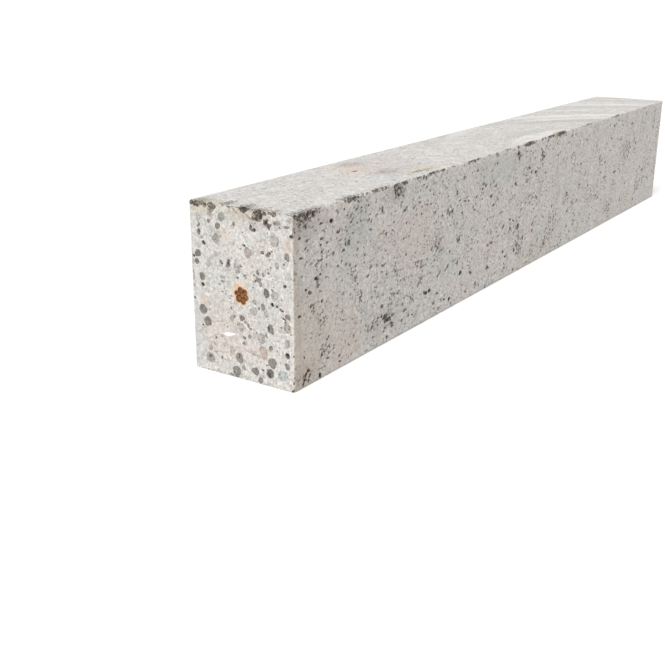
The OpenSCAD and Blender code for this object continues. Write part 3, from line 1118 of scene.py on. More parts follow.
# Single dark marks, listed in the same way.
MARKS = [
    (128, 27, 9, 5, 2.0), (133, 24, 11, 6, 2.4), (139, 21, 11, 6, 2.4), (145, 16, 12, 5, 2.0),
    (147, 24, 11, 4, 1.4), (107, 20, 7, 6, 1.9), (120, 22, 8, 5, 1.5), (205, 29, 10, 4, 2.4),
    (213, 28, 10, 4, 2.2), (35, 3, 7, 5, 2.2), (19, 13, 6, 5, 1.9), (15, 9, 6, 6, 2.2),
    (12, 4, 6, 4, 1.8), (24, 61, 5, 5, 2.2), (38, 55, 6, 4, 1.6), (41, 50, 9, 6, 1.3),
    (29, 95, 5, 4, 1.7), (33, 83, 7, 5, 1.6), (35, 87, 5, 4, 1.3), (79, 120, 8, 4, 1.7),
    (73, 126, 6, 5, 1.4), (105, 117, 8, 3.6, 1.7), (109, 115, 6, 4, 1.6), (126, 121, 6, 8, 1.7),
    (163, 114, 9, 4, 1.5), (178, 121, 7, 4, 1.4), (187, 117, 10, 4, 1.2), (218, 102, 11, 5, 1.6),
    (125, 101, 10, 3, 1.5), (113, 93, 12, 4, 1.2), (122, 89, 8, 3, 1.4), (107, 108, 10, 3.4, 1.2),
    (88, 95, 7, 5, 1.5), (86, 91, 5, 4, 1.3), (71, 104, 6, 5, 1.5), (68, 99, 7, 3.6, 1.6),
    (37, 99, 6, 4, 1.4), (43, 99, 6, 3, 1.2), (36, 115, 7, 4, 1.5), (60, 116, 7, 3, 1.4),
    (38, 121, 6, 3, 1.3), (45, 83, 7, 4, 1.4), (58, 78, 7, 4, 1.6), (77, 85, 7, 3.6, 1.5),
    (84, 79, 7, 4, 1.4), (108, 81, 11, 4, 1.2), (130, 73, 10, 4, 1.3), (35, 74, 5, 4, 1.5),
    (68, 63, 7, 4, 1.5), (93, 53, 4, 9, 1.5), (116, 56, 9, 4, 1.5), (122, 50, 9, 6, 1.2),
    (68, 41, 7, 4, 1.5), (113, 40, 7, 3, 1.4), (127, 36, 7, 4, 1.5), (45, 31, 7, 4, 1.5),
    (39, 35, 7, 3, 1.4), (38, 28, 6, 5, 1.2), (52, 25, 6, 4, 1.4), (45, 15, 9, 3.6, 1.4),
    (38, 20, 6, 4, 1.4), (163, 28, 8, 5, 1.5), (172, 34, 8, 4, 1.4), (168, 22, 8, 4.4, 1.6),
    (182, 28, 8, 3, 1.3), (189, 62, 8, 4, 1.5), (189, 58, 8, 4, 1.3), (196, 55, 9, 3, 1.2),
    (172, 90, 9, 5, 1.2), (204, 90, 13, 3, 1.3), (228, 67, 9, 5, 1.3), (213, 45, 8, 8, 1.0),
    (154, 30, 8, 3, 1.2), (176, 81, 7, 4, 1.3), (155, 62, 12, 6, 1.1), (204, 112, 10, 4, 1.2),
    (224, 118, 10, 4, 1.1), (92, 118, 6, 4, 1.2), (68, 132, 7, 4, 1.4), (152, 129, 8, 5, 1.6),
    (147, 131, 6, 12, 1.5), (275, 125, 10, 5, 1.5), (262, 112, 9, 13, 1.5), (268, 105, 9, 5, 1.4),
    (279, 102, 11, 5, 1.5), (245, 98, 8, 11, 1.4), (253, 96, 11, 12, 1.4), (274, 90, 11, 5, 1.4),
    (268, 66, 11, 6, 1.6), (260, 47, 10, 5, 1.3), (268, 43, 8, 6, 1.4), (275, 31, 9, 6, 2.2),
    (298, 26, 11, 6, 1.8), (337, 22, 14, 6, 1.7), (281, 17, 10, 5, 1.3), (310, 11, 10, 12, 1.3),
    (335, 2, 12, 6, 1.5), (238, 8, 10, 5, 1.6), (317, 113, 10, 5, 1.4), (345, 86, 13, 5, 1.5),
    (303, 101, 11, 5, 1.3), (300, 90, 10, 5, 1.2), (297, 60, 10, 6, 1.2), (363, 75, 12, 6, 1.5),
    (345, 105, 13, 5, 1.3), (377, 110, 12, 6, 1.2), (373, 96, 10, 5, 1.3), (392, 86, 13, 11, 1.4),
    (381, 84, 11, 5, 1.3), (387, 64, 12, 8, 1.4), (388, 53, 10, 9, 1.3), (407, 52, 16, 11, 0.9),
    (398, 131, 10, 8, 1.6), (402, 127, 8, 11, 1.4), (430, 112, 13, 6, 1.5), (437, 107, 11, 5, 1.3),
    (448, 104, 12, 8, 1.5), (426, 98, 14, 5, 1.1), (464, 122, 9, 13, 1.3), (471, 118, 9, 9, 1.3),
    (435, 80, 18, 6, 1.4), (437, 73, 15, 10, 1.4), (455, 76, 13, 6, 1.2), (409, 32, 14, 9, 1.6),
    (423, 36, 12, 9, 1.5), (412, 40, 15, 5, 1.2), (382, 24, 12, 10, 1.4), (366, 25, 12, 6, 1.2),
    (428, 16, 10, 11, 1.4), (380, 12, 14, 8, 1.2), (415, 22, 13, 9, 1.1), (497, 44, 13, 6, 1.3),
    (513, 44, 13, 8, 1.3), (530, 35, 22, 6, 1.4), (553, 42, 13, 8, 1.6), (547, 63, 14, 8, 1.4),
    (539, 54, 12, 6, 1.2), (475, 50, 10, 6, 1.2), (470, 32, 18, 6, 1.1), (485, 18, 18, 12, 1.2),
    (528, 108, 13, 6, 1.4), (583, 50, 20, 9, 1.3), (575, 26, 16, 9, 1.2), (586, 68, 12, 6, 1.2),
    (335, 46, 13, 5, 1.2), (353, 90, 12, 5, 1.2), (333, 60, 10, 5, 1.1), (620, 96, 12, 7, 1.4),
    (655, 40, 14, 8, 1.4), (690, 112, 12, 7, 1.3), (715, 64, 16, 8, 1.4), (748, 22, 12, 7, 1.5),
    (790, 84, 13, 8, 1.3), (834, 50, 14, 7, 1.5), (868, 104, 12, 8, 1.3), (632, 18, 12, 6, 1.3),
    (770, 122, 12, 6, 1.3),
]
print("crowds of spots:", len(CROWDS), "and single marks:", len(MARKS))

# %% Steel-mould cast concrete
# The skin is smooth and matt, and looks grey-white, mottled and speckled.
cast, tree, place, bent = start_finish("steel-mould cast concrete")
shown = lay_clouds(tree, place, colour("#D1CAC6"), CEMENT_CLOUDS + [
    ((9, 9, 42), 3, 0.56, 0.72, 0.25, "#ABA59F"),
])
shown, _ = lay_patches(tree, bent, shown, on_side([
    (360, 119, 90, 26, 0.30, "#B3B8B0"), (92, 122, 26, 44, 0.42, "#A9AFAB"),
    (76, 100, 20, 40, 0.30, "#AFB4B0"), (235, 50, 60, 30, 0.25, "#B7BEBA"),
    (180, 92, 70, 44, 0.25, "#CDB7AC"), (72, 22, 44, 50, 0.30, "#D2BEB4"),
    (512, 62, 20, 110, 0.20, "#BCA89B"), (470, 14, 60, 26, 0.30, "#BDB5A2"),
    (26, 40, 50, 90, 0.36, "#C2B2A2"), (14, 9, 30, 24, 0.35, "#AD9880"),
]) + on_side([
    (12, 131, 50, 26, 0.40, "#8A8077"), (150, 134, 36, 20, 0.30, "#9A948B"),
    (128, 22, 60, 22, 0.25, "#A39C92"),
], deep=14), soft=1.4)
# Painted highlight on the near upright arris, and the tan band behind it.
shown, _ = lay_patches(tree, bent, shown, ARRIS_HIGHLIGHT_AND_TAN_BAND, soft=0.9, ragged=0.9)

# The spots are the dirt and the painted shade in air holes and crumbs.
shown = lay_spots(tree, bent, shown, on_side(CROWDS + MARKS, deep=14), [
    (0.795, 0.55, "#9A948D"), (0.84, 0.65, "#7A736C"), (0.94, 0.85, "#453F38"),
])
shown, _ = lay_specks(tree, bent, shown, SAND)
# The pores' specks are darker: dirt and painted shade in them.
shown, pores = lay_specks(tree, bent, shown, [
    (3.8, 0.9, 0.35, 0.5, "#79736B", "#918B83"), (5.5, 1.4, 0.5, 0.7, "#655F57", "#837D75"),
])
end_finish(tree, place, shown, pores, grit=0.35, roughness=0.88)
concrete_mesh.materials.append(cast)
print(cast.name, "has", len(tree.nodes), "nodes")

# %% [markdown]
# ## The top, struck off and trowelled
#
# The trowel closes the paste to a paler and flatter skin. It swings round the worker's
# arm, so the bands that it leaves are arcs. A pattern of rings would be too regular. So
# cloud noise is read with the distance from the arm in place of the width, which bends
# its streaks into arcs.

# %% Small marks on the top
# Along, across from the front side, length, width, strength.
TOP_MARKS = [
    (138, 69, 14, 6, 1.3), (105, 67, 12, 6, 1.2), (197, 86, 14, 7, 1.4), (208, 80, 16, 7, 1.4),
    (219, 63, 16, 6, 1.1), (185, 37, 16, 8, 1.3), (201, 43, 14, 6, 1.2), (194, 31, 16, 7, 1.3),
    (231, 34, 18, 7, 1.2), (190, 13, 12, 6, 1.1), (173, 18, 14, 7, 1.1), (158, 8, 10, 5, 1.3),
    (150, 60, 14, 7, 1.0), (180, 51, 14, 6, 1.1), (168, 71, 12, 6, 1.1), (243, 30, 14, 6, 1.0),
    (262, 49, 12, 5, 1.0), (388, 23, 16, 6, 1.1), (352, 12, 14, 6, 1.0), (120, 44, 12, 6, 1.0),
    (136, 30, 12, 6, 1.1), (84, 33, 10, 5, 1.0), (66, 78, 10, 5, 1.0), (92, 88, 10, 5, 1.1),
]
print("marks on the top:", len(TOP_MARKS))

# %% Trowelled concrete
# The closed paste looks smoother and paler than the sides, with hardly any holes. Of the
# cement it keeps the four widest clouds, because the trowel blends the fine ones.
trowelled, tree, place, bent = start_finish("trowelled concrete")
shown = lay_clouds(tree, place, colour("#C7C3C0"), CEMENT_CLOUDS[:4] + [
    ((12, 8, 8), 3, 0.50, 0.64, 0.30, "#AEA9A3"), ((14, 10, 8), 3, 0.50, 0.64, 0.40, "#E2E0DD"),
    (3.4, 3, 0.50, 0.66, 0.40, "#A9A5A1"), (2.6, 3, 0.52, 0.66, 0.45, "#E8E6E3"),
    (2.4, 2, 0.58, 0.66, 0.60, "#857F77", 45), (2.8, 2, 0.57, 0.67, 0.35, "#F2F1EF"),
])

# The sweeps go round a place 230 mm to the front of the beam's axis. They begin 280 mm
# from the near end and are at full strength from 480 mm on.
SWEEP_X, SWEEP_Y = NEAR + 470, -230
SWEEPS_BEGIN, SWEEPS_FULL = NEAR + 280, NEAR + 480
swept = add_node(tree, "ShaderNodeVectorMath", {0: bent, 1: (-SWEEP_X, -SWEEP_Y, 0)})
swept = add_node(tree, "ShaderNodeVectorMath", {0: swept.outputs[0], 1: (1, 1, 0)},
                 operation="MULTIPLY")
from_hand = add_node(tree, "ShaderNodeVectorMath", {0: swept.outputs[0]}, operation="LENGTH")
split = add_node(tree, "ShaderNodeSeparateXYZ", {0: bent})
ring = add_node(tree, "ShaderNodeCombineXYZ", {0: split.outputs[0], 1: from_hand.outputs["Value"]})
banded = lay_clouds(tree, ring.outputs[0], shown, [
    ((300, 44, 40), 2, 0.46, 0.62, 0.50, "#AEACA8"), ((240, 27, 40), 2, 0.50, 0.62, 0.55, "#E6E4E1"),
    ((150, 11, 40), 2, 0.54, 0.66, 0.20, "#AFACA8"),
])
shown = lay_colour(tree, shown, split.outputs[0], SWEEPS_BEGIN, SWEEPS_FULL, 1.0, banded)
shown, _ = lay_patches(tree, bent, shown, on_top([
    (187, 72, 46, 46, 0.30, "#CDB8A0"), (225, 55, 70, 60, 0.35, "#BBB4B2"),
], deep=20) + on_top([
    (220, 15, 44, 22, 0.34, "#CBC09A"), (172, 60, 24, 16, 0.25, "#D9AE9C"),
    (516, 3, 26, 10, 0.6, "#CDB592"),
]) + on_top([
    (0, 84, 26, 38, 0.5, "#BDB29C"),
], deep=14), soft=1.3)
# Dark patches along the near end's edge and the front arris, in their crumbs: dirt, and painted
# shade. The others are stains.
shown, _ = lay_patches(tree, bent, shown, on_top([
    (3, 46, 20, 11, 0.75, "#5C564C"), (2, 30, 13, 12, 0.6, "#6C655B"),
    (3, 18, 12, 8, 0.5, "#6C655B"), (6, 66, 20, 7, 0.7, "#665C50"), (4, 90, 16, 14, 0.6, "#7D7363"),
    (17, 1, 34, 9, 0.7, "#625A50"), (76, 1, 26, 7, 0.8, "#625A50"), (122, 0, 24, 5, 0.7, "#625A50"),
    (207, 13, 17, 4.8, 0.75, "#6E675A"), (221, 11, 15, 4.4, 0.65, "#857B66"),
    (174, 59, 7, 3.4, 0.8, "#80594A"), (190, 34, 40, 22, 0.45, "#8E8781"),
    (200, 80, 30, 14, 0.45, "#97897B"), (516, 0, 30, 6, 0.8, "#625A50"),
    (427, 0, 26, 3, 0.8, "#625A50"),
]), soft=0.3, ragged=1.3)
# These spots are the dirt and the painted shade round the top's small holes.
shown = lay_spots(tree, place, shown, on_top(TOP_MARKS, deep=20), [
    (0.82, 0.4, "#A19B95"), (0.88, 0.55, "#847C74"),
])
# The last specks are pores, darker with dirt and painted shade.
shown, pores = lay_specks(tree, bent, shown, SAND + [(6.0, 1.0, 0.5, 0.5, "#7C766E", "#98928A")])
end_finish(tree, place, shown, pores, grit=0.2, roughness=0.8)
concrete_mesh.materials.append(trowelled)
print(trowelled.name, "has", len(tree.nodes), "nodes")

# %% [markdown]
# ## The ends, sawn
#
# The disc leaves the cut flat: pale paste with sand, small stones and large ones, all cut
# flush. A Voronoi pattern could draw all of the stones, but a cut beam is known by its
# own. So the near end's large stones are placed one by one, each an ellipsoid, and the
# rest are specks of a Voronoi pattern, as are the far end's.

# %% Stones and specks that mark the near end
DARK, MID, GREY, PALE = "#6A655F", "#85817B", "#A29E98", "#BDB9B4"
BROWN, TAN, PINK, BLUE, LIME = "#80746B", "#BFB5AA", "#BFADA2", "#C3C7C6", "#FFFFFF"
DEEP = "#332E29"
# Across, height, width, tall, colour, and the lean in degrees of those that lean.
STONES = [
    (68, 130, 6.8, 7.4, GREY), (73.7, 112.3, 7, 7.8, "#ADA9A3"), (42.6, 105.4, 7, 8, "#B3A9A2"),
    (16.9, 118.3, 8, 9, PALE, -15), (5.4, 107.6, 3.8, 6.4, MID, 5), (93.3, 97.6, 6.4, 6, DARK, -35),
    (94.3, 91, 5, 4.6, DARK, -25), (89.4, 79.3, 5.8, 5.8, BROWN), (98.8, 79, 3.4, 8, TAN),
    (90.1, 52.1, 7.4, 8.4, DEEP, -20), (85.4, 42.1, 7.6, 7.8, DEEP, -10),
    (25.5, 76.4, 5.4, 7, DARK), (17.3, 75.7, 6.4, 6.4, PALE), (37.9, 59.7, 7, 7, PALE),
    (52, 44.7, 7.4, 7.2, PALE, 20), (31.1, 39, 8.4, 9.4, PALE, -20), (21.9, 48, 6, 8, MID, -15),
    (6.1, 51.9, 7, 8, "#B0A79E"), (6, 39.7, 5.6, 7, PALE), (29.6, 28.8, 8.6, 7, PINK),
    (28.4, 24.4, 5.4, 7, PINK), (20.9, 20.4, 8.4, 9, MID, -20), (23.3, 11.1, 7.4, 7.8, DARK),
    (10.4, 11.9, 11, 9, BLUE), (53.6, 17.6, 8, 8.6, MID, -15), (84.3, 11.6, 8.4, 9, GREY, -20),
    (56.9, 5.4, 8.2, 9, MID, -20), (38, 9.7, 7.2, 6.4, MID), (33.3, 3.3, 5, 4.6, MID),
    (6.1, 29.7, 5.4, 4.4, DARK, 25), (6.4, 20.9, 5, 5.6, MID), (53.3, 91.9, 7, 8.4, PALE, -10),
    (82.6, 91.1, 4.4, 6.6, TAN), (62.6, 93.3, 4.4, 4.4, MID), (61.1, 96.4, 3.6, 2.6, DARK),
    (69.7, 94.4, 3.4, 3.4, MID), (49.7, 51.9, 5.6, 4.4, BROWN), (60.1, 49.7, 4.2, 5, GREY),
    (42.6, 38.3, 3.8, 3.8, GREY), (61.1, 22.6, 5, 7, TAN), (83.3, 20.4, 4, 5, GREY),
    (79, 24.7, 3.4, 3.4, GREY), (49.7, 10, 3.8, 4.2, GREY), (80.7, 125.4, 3.2, 3.2, MID),
    (91.1, 127.6, 5, 6, PALE), (91.4, 115.4, 4, 5, MID, -10), (71.9, 122.6, 5.2, 5.8, BROWN),
    (55.7, 125.9, 3, 3.6, MID), (78.3, 136.1, 6, 7.4, BROWN), (14.7, 99.7, 4.4, 5, PALE),
    (32.8, 85.8, 5.8, 4.4, MID, 35), (30.6, 82.8, 3.2, 5, GREY, -15), (29, 64.7, 3.6, 6, MID, -10),
    (36.9, 67.6, 3.8, 3.8, TAN), (5.4, 60.9, 5, 4, MID, 20), (21.9, 32.6, 3.6, 3.8, BROWN),
    (22.5, 107.4, 3, 4, MID), (28.7, 108, 3.2, 3, MID), (71.1, 32.6, 3, 3, GREY),
    (48.6, 31.3, 3, 3, GREY), (32, 135.4, 7.6, 8.8, DARK, -10), (26, 59.5, 4, 6, TAN),
    (44, 46.5, 3, 3.6, BROWN), (75, 100, 4, 5, PALE),
]
# Dark specks, and small pores darkened with dirt and painted shade, in the paste: across, height,
# width, tall.
END_DOTS = [
    (46.5, 111, 2.2, 2.4), (49.8, 107.5, 2.4, 1.8), (8, 101.5, 2.2, 1.8), (50, 94, 2.4, 1.8),
    (53.5, 84, 2.2, 2.0), (46, 87.6, 4.2, 1.5), (37, 88.4, 2.6, 2.0), (33.4, 92, 2.2, 3.2),
    (28, 90.5, 2.4, 3.6), (22.4, 92.6, 3.2, 1.6), (21, 97, 2.0, 1.6), (68.5, 79, 4.0, 1.6),
    (71.5, 76, 2.6, 1.5), (68.5, 69.8, 3.0, 1.6), (61.5, 66, 2.4, 1.6), (60.8, 58, 2.4, 3.0),
    (20, 79.6, 3.0, 1.5), (8.5, 84.6, 2.6, 2.6), (48.4, 36, 2.2, 2.2), (49, 31, 3.0, 1.8),
    (46.8, 48.5, 2.2, 1.8), (42, 44.6, 3.0, 1.8), (26, 17.6, 3.0, 1.8), (31, 12.6, 3.0, 1.6),
    (20, 110, 2.6, 2.0), (24, 106.5, 2.2, 2.4), (72, 14, 2.2, 2.4), (54, 18.6, 2.0, 2.4),
    (84.6, 12.6, 2.2, 2.6), (32.6, 63, 2.2, 2.6), (11, 64.6, 2.6, 2.2), (62, 1.6, 4.4, 2.0),
]
print("marked stones:", len(STONES), "and specks:", len(END_DOTS))

# %% Sawn concrete: the paste and the small stones
# The cut is matt and flat, and its paste is brighter than the sides, whose skin it lacks.
sawn, tree, place, bent = start_finish("sawn concrete")
shown = lay_clouds(tree, place, colour("#D6D1CC"), CEMENT_CLOUDS + [
    (3.0, 2, 0.55, 0.66, 0.38, "#FCFAF7"),
])
# River stones are rounded, so only a slow, slight noise bends their outlines.
rounded = bend(tree, place, scale=0.27, detail=2.0, reach=3.6)
shown, _ = lay_specks(tree, rounded, shown, [
    (4.6, 2.0, 0.5, 0.55, "#A5A099", "#BFB4AA"), (7.5, 3.2, 0.5, 0.55, "#9F9A94", "#BBB7B2"),
])
shown, _ = lay_specks(tree, bent, shown, SAND + [
    (3.3, 0.85, 0.5, 0.75, "#675C51", "#918A80"), (2.9, 0.8, 0.5, 0.8, "#EFEDEA", "#DCD6CE"),
])

far_shown, _ = lay_specks(tree, rounded, shown, [
    (13.0, 5.2, 0.9, 0.9, DARK, PALE), (9.0, 3.6, 0.7, 0.9, BROWN, GREY),
])
# The far end's stones are random, so they are shown only where X is above zero.
where = add_node(tree, "ShaderNodeSeparateXYZ", {0: place})
at_far_end = add_node(tree, "ShaderNodeMath", {0: where.outputs[0]}, operation="SIGN")
shown = add_node(tree, "ShaderNodeMix", {0: at_far_end.outputs[0], 6: shown, 7: far_shown},
                 data_type="RGBA").outputs[2]
print("sand and small stones:", len(tree.nodes), "nodes so far")

# %% The large stones
# They reach so far in that the cut's own waves don't change their outlines.
STONE_REACH = 120.0
STONE_OPACITY = 0.93
shown, closest = lay_patches(tree, rounded, shown, on_end([
    (*stone[:4], STONE_OPACITY, *stone[4:]) for stone in STONES
], deep=STONE_REACH), soft=0.22)

# Inside the stones the grain shows, and their rims are a little darker.
GRAIN_START, GRAIN_FULL = 0.48, 0.57
grained = lay_clouds(tree, place, shown, [
    (3.6, 3, 0.46, 0.60, 0.34, "#66615B"), (2.4, 3, 0.54, 0.64, 0.30, "#C8C4BE"),
    (1.6, 2, 0.58, 0.65, 0.60, "#524D47"),
])
shown = lay_colour(tree, shown, closest, GRAIN_START, GRAIN_FULL, 1.0, grained)
# A rim is where the closeness lies within so much of the value at its middle.
RIM_MIDDLE, RIM_HALF = 0.54, 0.07
rim = add_node(tree, "ShaderNodeMath", {0: closest, 1: RIM_MIDDLE, 2: RIM_HALF},
               operation="COMPARE")
rim_noise = add_node(tree, "ShaderNodeTexNoise", {"Vector": place, "Scale": 0.25, "Detail": 2.0})
rim_part = add_node(tree, "ShaderNodeMapRange", {"Value": rim_noise.outputs[0], "From Min": 0.42,
                    "From Max": 0.6, "To Max": 0.35}, **EASED)
rim = add_node(tree, "ShaderNodeMath", {0: rim.outputs[0], 1: rim_part.outputs[0]},
               operation="MULTIPLY")
shown = add_node(tree, "ShaderNodeMix", {0: rim.outputs[0], 6: shown, 7: colour("#4E4943")},
                 data_type="RGBA").outputs[2]
print("with large stones:", len(tree.nodes), "nodes so far")

# %% Stains and dark places on the near end
# A fleck of lime comes first, then tints of rust and damp, then the dark places. Those along the top
# edge are dirt and painted shade in its crumbs.
shown, _ = lay_patches(tree, place, shown, on_end([
    (63.5, 35.9, 12.8, 2.4, 1.0, LIME, -9), (64.7, 35.6, 7.6, 3.4, 1.0, LIME, -9),
], deep=9), soft=0.3)
shown, _ = lay_patches(tree, bent, shown, on_end([
    (51.4, 71.8, 14.4, 16.6, 0.62, "#EDC596"), (92, 137, 26, 14, 0.50, "#C9BBA2"),
    (50, 135, 24, 12, 0.45, "#B9AC91"), (30, 135, 18, 16, 0.3, "#A79C8B"),
    (97, 30, 16, 50, 0.4, "#C0C7C9"), (78, 40, 40, 40, 0.20, "#D6C0B4"),
    (60, 25, 60, 16, 0.15, "#D8C0B4"), (5, 116, 7, 11, 0.36, "#D0A98C"),
    (88, 60, 7, 5, 0.36, "#E0B48E"), (64, 115, 10, 8, 0.25, "#DCC0A8"),
]), soft=1.2, ragged=0.4)
shown, _ = lay_patches(tree, bent, shown, on_end([
    (93.5, 137, 9, 3.4, 0.95, "#3F382F", 20), (86, 139.5, 8, 3, 0.7, "#6C604F"),
    (99, 139, 6, 5, 0.6, "#776B5A"), (79, 131, 6, 4, 0.6, "#8B7A6C", 30),
    (61, 141, 6, 5, 0.9, "#4F473D", 40), (46, 139.4, 9, 5.5, 1.0, "#29241F"),
    (54, 136.5, 8, 2, 0.5, "#8D8168", 35), (41, 134, 8, 2, 0.5, "#8D8168", 35),
    (32, 136, 8, 8.6, 0.9, "#3A342F"), (36, 133, 6, 3, 0.8, "#4A433C", 25),
    (25, 131.5, 6, 4, 0.9, "#5B5048", -40), (22, 129, 5, 3, 0.9, "#5B5048", -20),
    (18, 138.6, 6, 3.4, 1.0, "#332D28"), (26, 138, 4, 2.4, 0.9, "#3B342E"),
    (14, 132, 6, 4, 0.7, "#7A6C61"), (5.7, 130, 5, 2.6, 0.8, "#6C5F55", -20),
    (3, 135, 6, 5, 0.5, "#8A7C70"), (39.6, 125.6, 2.6, 4, 0.8, "#56504A"),
    (36.6, 123.8, 5, 2.2, 0.8, "#56504A"), (91, 121, 5, 2.6, 0.8, "#56504A", -45),
    (8.5, 58.5, 4.4, 1.6, 0.9, "#5E4F45", 15), (26, 42.3, 2, 3.4, 0.8, "#6C5F55", -20),
    (90, 36, 18, 1.6, 0.45, "#A98F7C", -35), (76, 44, 18, 1.4, 0.45, "#A98F7C", -12),
    (72, 19, 20, 1.4, 0.45, "#A08774", -8), (40, 24, 20, 1.6, 0.45, "#94806F", 8),
    (80, 31, 14, 1.4, 0.4, "#A98F7C", -30),
] + [(*dot, 0.75, "#5E5650") for dot in END_DOTS]), soft=0.4, ragged=0.45)
# Only the arris's painted highlight reaches the end.
shown, _ = lay_patches(tree, bent, shown, ARRIS_HIGHLIGHT_AND_TAN_BAND[1:], soft=0.9, ragged=0.9)
print("with stains:", len(tree.nodes), "nodes so far")

# %% Rust round the strand
# It has run out of the wires into the paste round them, so it follows their outline.
# The search for the nearest wire's axis starts at this distance, past the last tint.
FAR_FROM_WIRES = 9.0
nearest_wire = FAR_FROM_WIRES
for wire in range(WIRE_COUNT):
    angle = WIRE_TURN + wire * 2 * math.pi / WIRE_COUNT
    centre = (0, LAY_RADIUS * math.cos(angle), STRAND_Z + LAY_RADIUS * math.sin(angle))
    own = add_node(tree, "ShaderNodeVectorMath", {0: rounded, 1: [-c for c in centre]})
    own = add_node(tree, "ShaderNodeVectorMath", {0: own.outputs[0], 1: (0, 1, 1)},
                   operation="MULTIPLY")
    own = add_node(tree, "ShaderNodeVectorMath", {0: own.outputs[0]}, operation="LENGTH")
    nearest_wire = add_node(tree, "ShaderNodeMath", {0: own.outputs["Value"], 1: nearest_wire},
                            operation="MINIMUM").outputs[0]
# From a wire's axis: where each tint starts to fade and where it ends, opacity, colour.
RUST_TINTS = [(2.6, 4.2, 0.45, "#E2A86E"), (2.4, 3.1, 0.95, "#7A4A24")]
for fades_from, ends_at, opacity, code in RUST_TINTS:
    amount = add_node(tree, "ShaderNodeMapRange", {"Value": nearest_wire,
                      "From Min": fades_from, "From Max": ends_at, "To Min": opacity,
                      "To Max": 0.0}, **EASED)
    shown = add_node(tree, "ShaderNodeMix", {0: amount.outputs[0], 6: shown,
                     7: colour(code)}, data_type="RGBA").outputs[2]
end_finish(tree, place, shown, pores=0.0, grit=0.25, roughness=0.82)
concrete_mesh.materials.append(sawn)
print(sawn.name, "has", len(tree.nodes), "nodes")

# %% [markdown]
# ## The strand
#
# Seven drawn wires, one straight in the middle and six round it, cut off flush by the
# saw. A cut across hard wire tears a little, and then rusts for months in the yard, so
# each end is a lumpy brown disc. In the concrete nothing shows, so the rods are plain
# there. A cylinder would do for a rod, but its ends have no points in them that could be
# torn. So each wire is one closed surface, a profile spun round its own axis, with many
# rings on its ends.

# %% A wire as a profile spun round its axis
AROUND_WIRE = 32
# The rings of points on an end, from its middle out, as shares of the radius.
END_RINGS = np.array([0.12, 0.3, 0.45, 0.6, 0.72, 0.84, 0.94, 1.0])
# The rod's straight side starts this far from its ends, and their middles lie this deep.
RIM_WIDTH = 0.6
MIDDLE_DEPTH = 0.3


def wire_mesh_parts(middle_y, middle_z, radius):
    """Points and faces of a rod: circles whose radius follows the profile from the middle of
    the near end out to the rim, along the rod, and in again. Noise sinks the two ends by up
    to 0.8 mm, and the sixth power of the radius sinks their rims by up to 0.35 mm more."""
    half_length = LENGTH / 2 - DRAW_IN
    face = np.full(len(END_RINGS), half_length)
    profile_r = radius * np.concatenate([END_RINGS, [1.0], [1.0], END_RINGS[::-1]])
    profile_x = np.concatenate([-face, [RIM_WIDTH - half_length], [half_length - RIM_WIDTH], face])
    angle = np.arange(AROUND_WIRE) * 2 * math.pi / AROUND_WIRE
    points = np.empty((len(profile_r), AROUND_WIRE, 3))
    points[..., 0] = profile_x[:, None]
    points[..., 1] = middle_y + profile_r[:, None] * np.cos(angle)
    points[..., 2] = middle_z + profile_r[:, None] * np.sin(angle)
    torn = 0.35 * cloud(points, size=0.8, seed=21) + 0.45 * cloud(points, size=2.2, seed=22)
    rim_loss = 0.35 * (profile_r[:, None] / radius) ** 6
    # Only the two ends sink, and not the rings where the rod's straight side begins.
    at_end = np.abs(points[..., 0]) > half_length - RIM_WIDTH / 2
    points[..., 0] -= np.sign(points[..., 0]) * at_end * (torn + rim_loss)
    depth_x = half_length - MIDDLE_DEPTH
    poles = np.array([[-depth_x, middle_y, middle_z], [depth_x, middle_y, middle_z]])
    ring = np.arange(points.shape[0] * AROUND_WIRE).reshape(points.shape[:2]) + 2
    turned = np.roll(ring, -1, axis=1)
    quads = np.stack([ring[:-1], ring[1:], turned[1:], turned[:-1]], axis=-1).reshape(-1, 4)
    near_fan = np.stack([np.zeros_like(ring[0]), ring[0], turned[0]], axis=-1)
    far_fan = np.stack([np.ones_like(ring[0]), turned[-1], ring[-1]], axis=-1)
    return np.concatenate([poles, points.reshape(-1, 3)]), quads, near_fan, far_fan


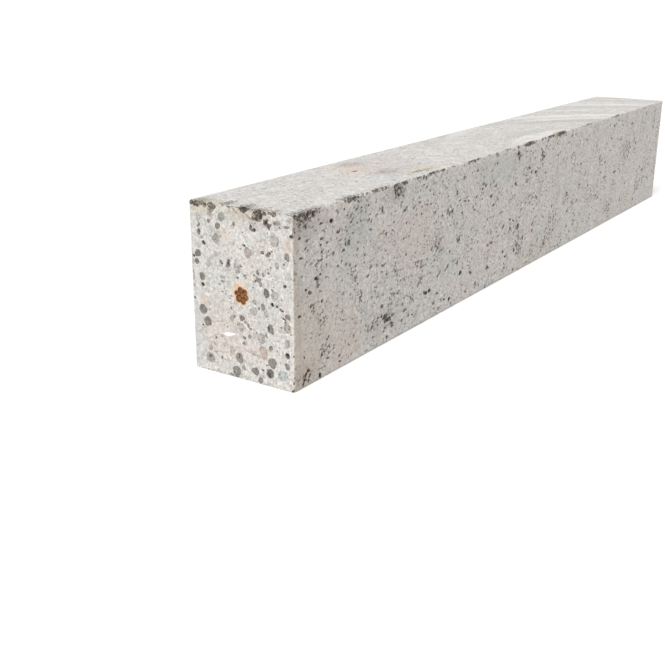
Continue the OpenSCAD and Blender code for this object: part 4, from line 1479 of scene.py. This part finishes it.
def wires(name, middles, radius):
    """One mesh object of closed rods, with the same radius, at the given middles."""
    points, faces = [], []
    for middle_y, middle_z in middles:
        start = sum(len(part) for part in points)
        rod, quads, near_fan, far_fan = wire_mesh_parts(middle_y, middle_z, radius)
        points.append(rod)
        faces += [(group + start).tolist() for group in (quads, near_fan, far_fan)]
    mesh = bpy.data.meshes.new(name)
    mesh.from_pydata((np.concatenate(points) / METRE).tolist(), [], sum(faces, []))
    mesh.shade_smooth()
    made = add_object(name, mesh)
    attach(made, "root")
    return made


wire_angles = WIRE_TURN + np.arange(WIRE_COUNT) * 2 * math.pi / WIRE_COUNT
outer_middles = LAY_RADIUS * np.stack([np.cos(wire_angles), np.sin(wire_angles)], axis=-1)
king = wires("sawn_king_wire", [(0, STRAND_Z)], KING_RADIUS)
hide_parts("king_wire")
outer = wires("sawn_outer_wires", outer_middles + [0, STRAND_Z], WIRE_RADIUS)
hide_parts("outer_wires")
print("strand wires:", 1 + WIRE_COUNT)

# %% Rusted steel: drawn wire that has stood outside
# Its shine has gone under brown scale, so it is rough and not metallic.
rusted, tree = empty_material("rusted drawn steel wire")
place = places_in_mm(tree)
shown = lay_clouds(tree, place, colour("#8A5A34"), [
    (6, 2, 0.44, 0.58, 0.75, "#A8733F"), (4, 3, 0.50, 0.62, 0.80, "#5E3A22"),
    (1.8, 3, 0.52, 0.66, 0.5, "#B5804F"), (1.2, 3, 0.57, 0.68, 0.5, "#4A2D1A"),
])
# Rust lies in flakes of about 0.7 mm, up to 0.4 mm thick.
FLAKE_SCALE = 1.4
FLAKE_THICKNESS = 0.4
flakes = add_node(tree, "ShaderNodeTexNoise", {"Vector": place, "Scale": FLAKE_SCALE,
                  "Detail": 4.0})
relief = add_node(tree, "ShaderNodeBump", {"Height": flakes.outputs[0], "Strength": 0.8,
                  "Distance": FLAKE_THICKNESS / METRE})
dull = add_node(tree, "ShaderNodeMapRange", {"Value": flakes.outputs[0], "To Min": 0.75,
                "To Max": 0.95})
shader = add_node(tree, "ShaderNodeBsdfPrincipled", {"Base Color": shown,
                  "Roughness": dull.outputs[0], "Normal": relief.outputs[0]})
add_node(tree, "ShaderNodeOutputMaterial", {"Surface": shader.outputs[0]})
for piece in (king, outer):
    piece.data.materials.append(rusted)
print("rusted pieces:", king.name, outer.name)

# %% Sizes for comparison, and the last line
visual_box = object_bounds()
apart = np.abs(np.subtract(cad_box, visual_box)).max() * METRE
print("the finished beam's box and the solids' are", apart.round(2), "mm apart at most")
